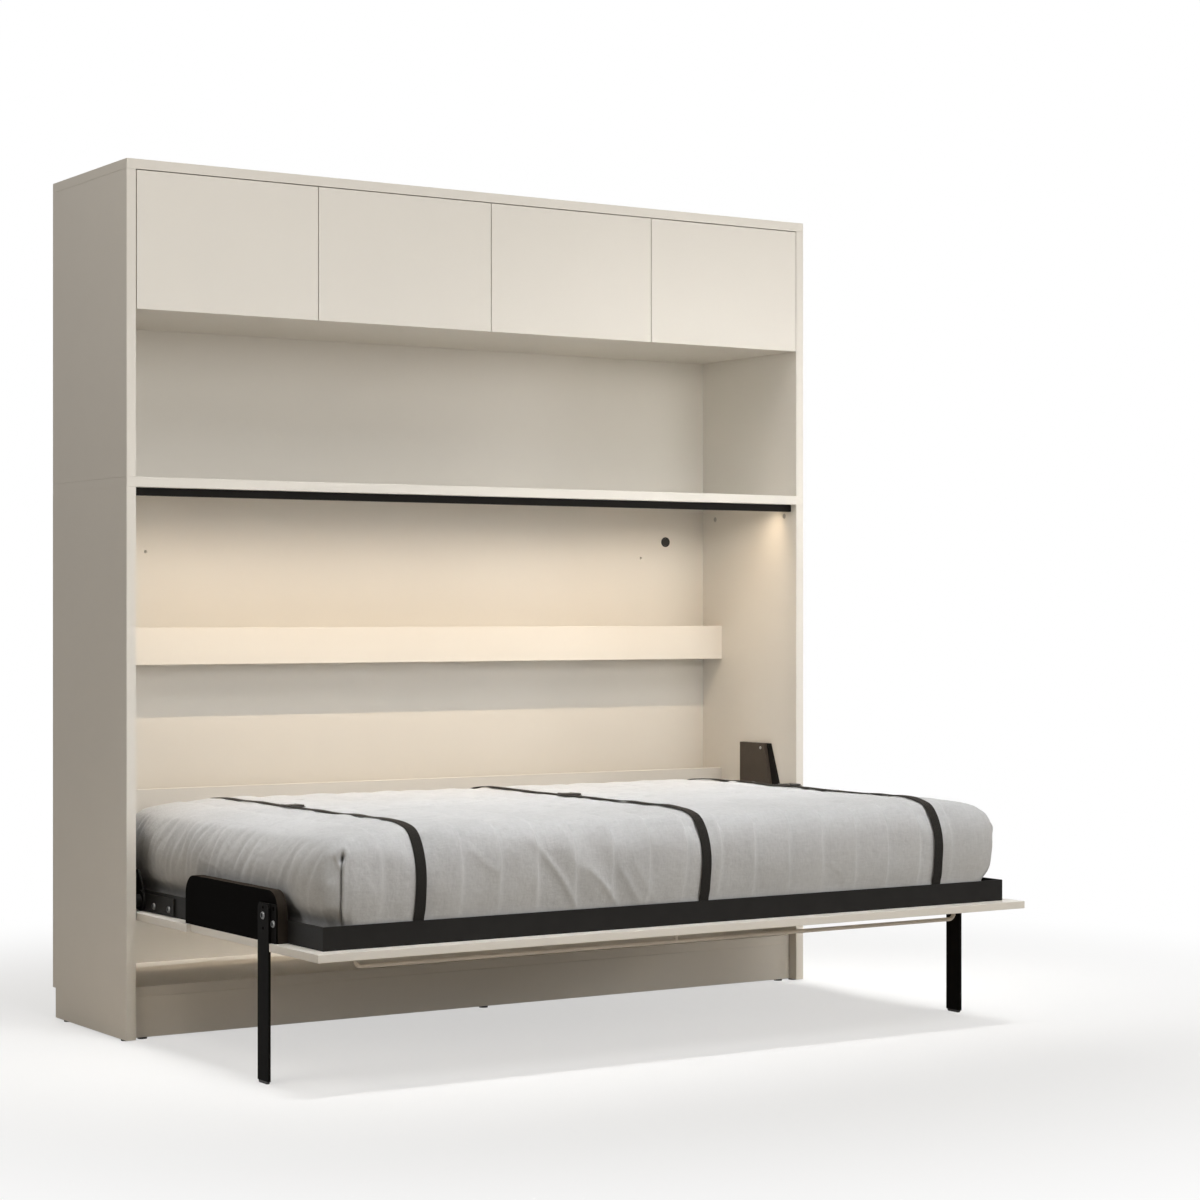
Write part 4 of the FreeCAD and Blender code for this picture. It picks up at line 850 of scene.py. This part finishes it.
# Folded corners: where each seam lies on its corner's arc, and the flap, the slit and the pucker at its head
SEAM_TURNS = (math.radians(50), math.radians(24))
SEAM_LEAN, SEAM_LEAN_HEIGHTS = 0.004, (0.03, 0.14)
SEAM_GATHER, GATHER_ABOVE_PUCKER = 0.016, 0.03
PUCKER_HEIGHT, PUCKER_HALF_HEIGHT = 0.192, 0.0110
PUCKER_HALF_WIDTH, PUCKER_FLARE = 0.0064, 0.0016
SEAM_FADE = (-0.010, 0.006)
UNDER_DEPTH, UNDER_REACH = 0.0050, (0.001, 0.045)
FLAP_LIFT, FLAP_AT, FLAP_WIDTH = 0.0034, 0.006, 0.0048
SLIT_DEPTH, SLIT_EDGES = 0.0120, (0.0008, 0.0021)
HOLE_DEPTH, HOLE_EDGES = 0.012, (0.70, 1.20)
LIP_LIFT, LIP_AT, LIP_SPREAD = 0.0034, 1.9, 0.4


def round_corner(points):
    """How far round its corner a point is from the folded seam, its height, and whether it is in a corner"""
    x, y = (points - mattress_middle).T[:2]
    height = points[:, 2] - mattress_low[2]
    out_x, out_y = abs(x) - (half_x - CORNER_RADIUS), abs(y) - (half_y - CORNER_RADIUS)
    turn = np.arctan2(np.maximum(out_y, 0), np.maximum(out_x, 1e-6))
    seam = np.where(x < 0, *SEAM_TURNS)
    beside = (turn - seam) * CORNER_RADIUS + SEAM_LEAN * (1 - ramp(height, *SEAM_LEAN_HEIGHTS))
    return beside, height, (out_x > 0.001) & (out_y > 0.001)


def gathered_to_seam(points):
    """The points with the columns near each corner's seam drawn close to it, so that the seam can be sharp"""
    beside, height, in_corner = round_corner(points)
    near = in_corner & (abs(beside) < SEAM_GATHER) & (height < PUCKER_HEIGHT + GATHER_ABOVE_PUCKER)
    angle = (beside * abs(beside) / SEAM_GATHER - beside) / CORNER_RADIUS
    x, y = (points - mattress_middle).T[:2]
    hub_x, hub_y = np.sign(x) * (half_x - CORNER_RADIUS), np.sign(y) * (half_y - CORNER_RADIUS)
    angle = np.where(near, angle, 0) * np.sign(x) * np.sign(y)
    arm_x, arm_y = x - hub_x, y - hub_y
    moved = points.copy()
    moved[:, 0] = mattress_middle[0] + hub_x + arm_x * np.cos(angle) - arm_y * np.sin(angle)
    moved[:, 1] = mattress_middle[1] + hub_y + arm_x * np.sin(angle) + arm_y * np.cos(angle)
    return moved


def pucker(points):
    """The distance from the pucker at the head of each corner's seam, 1 at its edge, large elsewhere"""
    beside, height, in_corner = round_corner(points)
    rise = (height - PUCKER_HEIGHT) / PUCKER_HALF_HEIGHT
    away = np.hypot(beside / (PUCKER_HALF_WIDTH + PUCKER_FLARE * np.clip(rise, -1, 1)), rise)
    return np.where(in_corner, away, 99)


def corner_fold(points):
    """How far the cloth sinks beside the folded corners: a flap's edge below, a pucker at its head"""
    beside, height, in_corner = round_corner(points)
    below = 1 - ramp(height - PUCKER_HEIGHT, *SEAM_FADE)
    under = np.where(beside < 0, 1 - ramp(-beside, *UNDER_REACH), 0) * UNDER_DEPTH
    flap = -FLAP_LIFT * np.exp(-((beside - FLAP_AT) / FLAP_WIDTH) ** 2)
    slit = SLIT_DEPTH * (1 - ramp(abs(beside), *SLIT_EDGES))
    away = pucker(points)
    hole = HOLE_DEPTH * (1 - ramp(away, *HOLE_EDGES))
    lip = -LIP_LIFT * np.exp(-(away - LIP_AT) ** 2 / LIP_SPREAD)
    return np.where(in_corner, (under + flap + slit) * below + hole + lip, 0)


def opened(piece, gone):
    """The piece without the faces whose corners are all marked as gone"""
    mesh = bmesh.new()
    mesh.from_mesh(piece.data)
    inside = [face for face in mesh.faces if all(gone[corner.index] for corner in face.verts)]
    bmesh.ops.delete(mesh, geom=inside, context="FACES")
    mesh.to_mesh(piece.data)
    mesh.free()


points, faces, rim = rounded_box(-SHEET_GAP)
start = len(points)
for number in rim:
    inward = mattress_middle - points[number]
    inward[2] = 0
    points.append(points[number] + inward / np.linalg.norm(inward) * TUCK_UNDER + [0, 0, SHEET_GAP])
faces += [(rim[i], start + i, start + (i + 1) % len(rim), rim[(i + 1) % len(rim)]) for i in range(len(rim))]

cotton = Finish("brushed_cotton", Sheen_Weight=0.25, Sheen_Roughness=0.5, Specular_IOR_Level=0.2)
THREAD = 0.0011
weave = cotton.part("X").wave(THREAD) * 0.5 + (cotton.part("Y") + cotton.part("Z")).wave(THREAD) * 0.5
slub = cotton.grain(240, detail=3, squeeze=(1, 0.25, 0.25)) * 0.5
slub = slub + cotton.grain(240, detail=3, squeeze=(0.2, 1, 1)) * 0.5
rumple = cotton.grain(34, detail=5, roughness=0.6)
shade = cotton.grain(5, detail=3) * 0.35 + slub * 0.65
smooth_rumple = cotton.relief(rumple, 0.0024)
cotton.feed(Base_Color=cotton.blend(shade.between(0.25, 0.75), (0.450, 0.458, 0.466), (0.564, 0.572, 0.582)),
            Roughness=slub * 0.15 + 0.80,
            Normal=cotton.relief(weave * 0.4 + slub * 0.6, 0.0004, under=smooth_rumple))
bed_sheet = gather("bed_sheet", [(settled(points), faces)], cotton, "bed", smooth_angle=180)
held = []
for point in bed_sheet.data.vertices:
    share = channel_share(point.co.x)
    if point.co.z < mattress_low[2] + HELD_BELOW:
        held.append((point.index, 1.0))
    elif min(share, 1 - share) < SEAM_HELD_SHARE:
        held.append((point.index, SEAM_HOLD))
swelled(bed_sheet, held, SWELL_CAP)

# Each face split in four and smoothed once
bed_sheet.modifiers.new("finer", "SUBSURF").levels = 1
finer = bpy.data.meshes.new_from_object(bed_sheet.evaluated_get(bpy.context.evaluated_depsgraph_get()))
bed_sheet.modifiers.clear()
bed_sheet.vertex_groups.clear()
bed_sheet.data = finer
cloth_points = gathered_to_seam(np.array([point.co for point in bed_sheet.data.vertices]))
cloth_normals = np.array([normal.vector for normal in bed_sheet.data.vertex_normals])
free = ramp(cloth_points[:, 2] - mattress_low[2], *FREE_HEIGHTS)
moves = (sheet_lift(cloth_points, cloth_normals) - corner_fold(cloth_points)) * free
draped = cloth_points + cloth_normals * moves[:, None]
guard_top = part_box("side_guards")[1][2]
rail_low, rail_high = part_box("frame_end_rails")
beside_guard = (draped[:, 2] < guard_top + ABOVE_GUARD) & (abs(draped[:, 0]) > half_x * NEAR_END_SHARE)
draped[beside_guard, 0] = np.clip(draped[beside_guard, 0], rail_low[0] + GUARD_CLEAR,
                                  rail_high[0] - GUARD_CLEAR)
bed_sheet.data.vertices.foreach_set("co", draped.ravel())
opened(bed_sheet, pucker(cloth_points) < 1.0)
bed_sheet.data.update()

# Straps: three lengths of black polypropylene webbing that hold the mattress when the bed stands upright.
# Each runs over the mattress from front to back and is tucked into the frame at both ends.
STRAP_THICKNESS = 0.0017
STRAP_HEM = 0.0006
STRAP_STEP = 0.006
STRAP_CLEAR = 0.0004
STRAP_END_HEIGHT = 0.022
STRAP_EDGE_DROPS = (0.0004, 0, 0, 0, 0.0004)
STRAP_TOP_MARKS = (0.75, 0.6, 0.45, 0.3)
SEARCH = 0.045
SMOOTHED_OVER = 4
RIB = 0.0016

webbing = Finish("black_webbing", Sheen_Weight=0.12, Sheen_Roughness=0.4, Sheen_Tint=(0.62, 0.52, 0.42),
                 Specular_IOR_Level=0.15)
along_strap = webbing.part("Y") + webbing.part("Z")
across_strap = webbing.part("X")
twill = (across_strap + along_strap * 0.5).wave(RIB) * (along_strap - across_strap * 0.4).wave(RIB)
fuzz = webbing.grain(1200, detail=2)
ribs = twill * 0.7 + fuzz * 0.3
webbing.feed(Base_Color=webbing.blend(ribs, (0.006, 0.0055, 0.005), (0.026, 0.023, 0.020)),
             Roughness=fuzz * 0.15 + 0.68, Normal=webbing.relief(twill * 0.8 + fuzz * 0.2, 0.0006))
cloth_tree = BVHTree.FromObject(bed_sheet, bpy.context.evaluated_depsgraph_get())


def outwards(line):
    """The outward direction at each point of the strap's line"""
    runs = np.gradient(line, axis=0)
    outward = np.stack([-runs[:, 1], runs[:, 0]], axis=1)
    return outward / np.linalg.norm(outward, axis=1, keepdims=True)


def strap_course():
    """Points and outward directions of the strap's way over the mattress, from its front edge to its rear"""
    rising = [(mattress_low[1] + inset, mattress_low[2] + height) for inset, height in SIDE_PROFILE[1:]]
    falling = [(mattress_high[1] - inset, mattress_low[2] + height) for inset, height in SIDE_PROFILE[:0:-1]]
    middle = [(share * mattress_low[1] + (1 - share) * mattress_high[1], mattress_high[2])
              for share in STRAP_TOP_MARKS]
    line = smooth_line(rising + middle + falling, STRAP_STEP)
    line = line[line[:, 1] > mattress_low[2] + STRAP_END_HEIGHT]
    line -= outwards(line) * pressed_in(*line.T)[:, None]
    return line, outwards(line)


def windowed(values, measure):
    """The measure, such as the largest, of the values in a window round each one"""
    wider = np.pad(values, SMOOTHED_OVER, mode="edge")
    return np.array([measure(wider[at:at + 2 * SMOOTHED_OVER + 1]) for at in range(len(values))])


def strap(place):
    """One length of webbing that lies on the cloth, and the height of its top over the line it follows"""
    line, outward = strap_course()
    count = len(STRAP_EDGE_DROPS)
    columns = place + np.linspace(-0.5, 0.5, count) * (STRAP_WIDTH - STRAP_HEM)
    lie = np.zeros((len(line), count))
    for row, ((y, z), (out_y, out_z)) in enumerate(zip(line, outward)):
        for column, x in enumerate(columns):
            away = Vector((x, y + out_y * SEARCH, z + out_z * SEARCH))
            hit = cloth_tree.ray_cast(away, Vector((0, -out_y, -out_z)), SEARCH * 2)
            lie[row, column] = SEARCH - hit[3] if hit[3] is not None else -STRAP_GROOVE
    even = windowed(windowed(lie.max(axis=1), np.max), np.mean)
    above = list(zip(columns, STRAP_CLEAR + STRAP_THICKNESS - np.array(STRAP_EDGE_DROPS)))
    below = list(zip(columns, STRAP_CLEAR + np.array(STRAP_EDGE_DROPS)))
    points = [(x, y + out_y * (rise + lift), z + out_z * (rise + lift))
              for (y, z), (out_y, out_z), rise in zip(line, outward, even) for x, lift in above + below[::-1]]
    tops = np.stack([line[:, 0], line[:, 1] + even + STRAP_CLEAR + STRAP_THICKNESS], axis=1)
    return points, tube_faces(len(line), 2 * count), tops


strap_parts = []
strap_tops = {}
for place in strap_places:
    *part, strap_tops[place] = strap(place)
    strap_parts.append(part)
straps = gather("mattress_straps", strap_parts, webbing, "bed", node="straps",
                smooth_angle=50)

# Strap buckles: moulded cam buckles, each a body with two cheeks and a ribbed lever that grips the webbing.
# Black-brown nylon with rounded edges and a satin face.
BUCKLE_FLOOR, BUCKLES_OVER = 0.0016, 0.2
BUCKLES_SLID = (-0.022, -0.050, -0.035)
CHEEK, CHEEK_SHARES, CHEEK_BELOW_TOP = 0.0045, (0.10, 0.90), 0.001
LEVER_PLAY, LEVER_SHARE, LEVER_START, LEVER_BOTTOM = 0.0006, 0.62, 0.002, 0.0032
RIBS, RIB_START, RIB_PITCH, RIB_WIDTH, RIB_HEIGHT, RIB_INSET = 6, 0.005, 0.0032, 0.0016, 0.0014, 0.002
BAR_SHARES, BAR_TOP = (0.80, 0.92), 0.0048
FLOOR_EDGE, CHEEK_EDGE, LEVER_EDGE, RIB_EDGE = 0.0006, 0.0013, 0.0011, 0.0005


def slab(low, high, radius, segments):
    """Points and faces of a block with rounded edges"""
    mesh = bmesh.new()
    bmesh.ops.create_cube(mesh, size=1)
    for point in mesh.verts:
        point.co = Vector((low + high) / 2 + np.array(point.co) * (high - low))
    bmesh.ops.bevel(mesh, geom=mesh.edges[:], offset=radius, segments=segments, profile=0.5, affect="EDGES")
    mesh.verts.index_update()
    points = [tuple(point.co) for point in mesh.verts]
    faces = [tuple(point.index for point in face.verts) for face in mesh.faces]
    mesh.free()
    return points, faces


def buckle(wide, deep, tall):
    """The blocks of a buckle: their spans across, along and up, their edge radius and its segments"""
    half_wide, under = wide / 2, BUCKLE_FLOOR / 2
    reach = half_wide - CHEEK - LEVER_PLAY
    bar, cheek = ([deep * share for share in shares] for shares in (BAR_SHARES, CHEEK_SHARES))
    yield (-half_wide, half_wide), (0, deep), (0, BUCKLE_FLOOR), FLOOR_EDGE, 3
    for span in ((-half_wide, CHEEK - half_wide), (half_wide - CHEEK, half_wide)):
        yield span, cheek, (under, tall - CHEEK_BELOW_TOP), CHEEK_EDGE, 3
    yield (-reach, reach), (LEVER_START, deep * LEVER_SHARE), (LEVER_BOTTOM, tall - LEVER_PLAY), LEVER_EDGE, 3
    for start in (RIB_START + rib * RIB_PITCH for rib in range(RIBS)):
        rib_span = (RIB_INSET - reach, reach - RIB_INSET)
        yield rib_span, (start, start + RIB_WIDTH), (tall - RIB_HEIGHT, tall), RIB_EDGE, 2
    yield (-reach, reach), bar, (under, BAR_TOP), LEVER_EDGE, 3


buckle_parts = []
for (low, high), slid in zip(sorted(solids("strap_buckles"), key=lambda box: box[0][0]), BUCKLES_SLID):
    wide, deep, tall = high - low
    middle = (low[0] + high[0]) / 2
    front = low[1] + slid
    tops = strap_tops[min(strap_places, key=lambda at: abs(at - middle))]
    over = (tops[:, 0] > front) & (tops[:, 0] < front + deep) & (tops[:, 1] > mattress_low[2] + BUCKLES_OVER)
    origin = (middle, front, tops[over, 1].max())
    for *spans, radius, segments in buckle(wide, deep, tall):
        lower, upper = (np.add(origin, corner) for corner in zip(*spans))
        buckle_parts.append(slab(lower, upper, radius, segments))
buckle_nylon = Finish("brown_black_nylon", Specular_IOR_Level=0.5)
buckle_nylon.mottle(150, (0.032, 0.027, 0.022), (0.052, 0.044, 0.036), (500, 0.15, 0.38), (2600, 0.00003), 2)
gather("cam_buckles", buckle_parts, buckle_nylon, "bed", node="strap_buckles",
       smooth_angle=45)

# Pull rail: a round steel bar under the panel's front with a post midway, its ends bent up to flanges, by
# which the bed is pulled down. Painted taupe, a little polished by hands midway.
taupe = Finish("taupe_enamel", Specular_IOR_Level=0.5)
handled = 1 - abs(taupe.part("X")).between(0.15, 0.6)
taupe.feed(Base_Color=taupe.blend(taupe.grain(12), (0.52, 0.48, 0.43), (0.59, 0.55, 0.49)),
           Roughness=taupe.grain(120) * 0.12 + 0.36 - handled * 0.08,
           Normal=taupe.relief(taupe.grain(1300, detail=2), 0.000015))
dress(("pull_rail",), taupe)
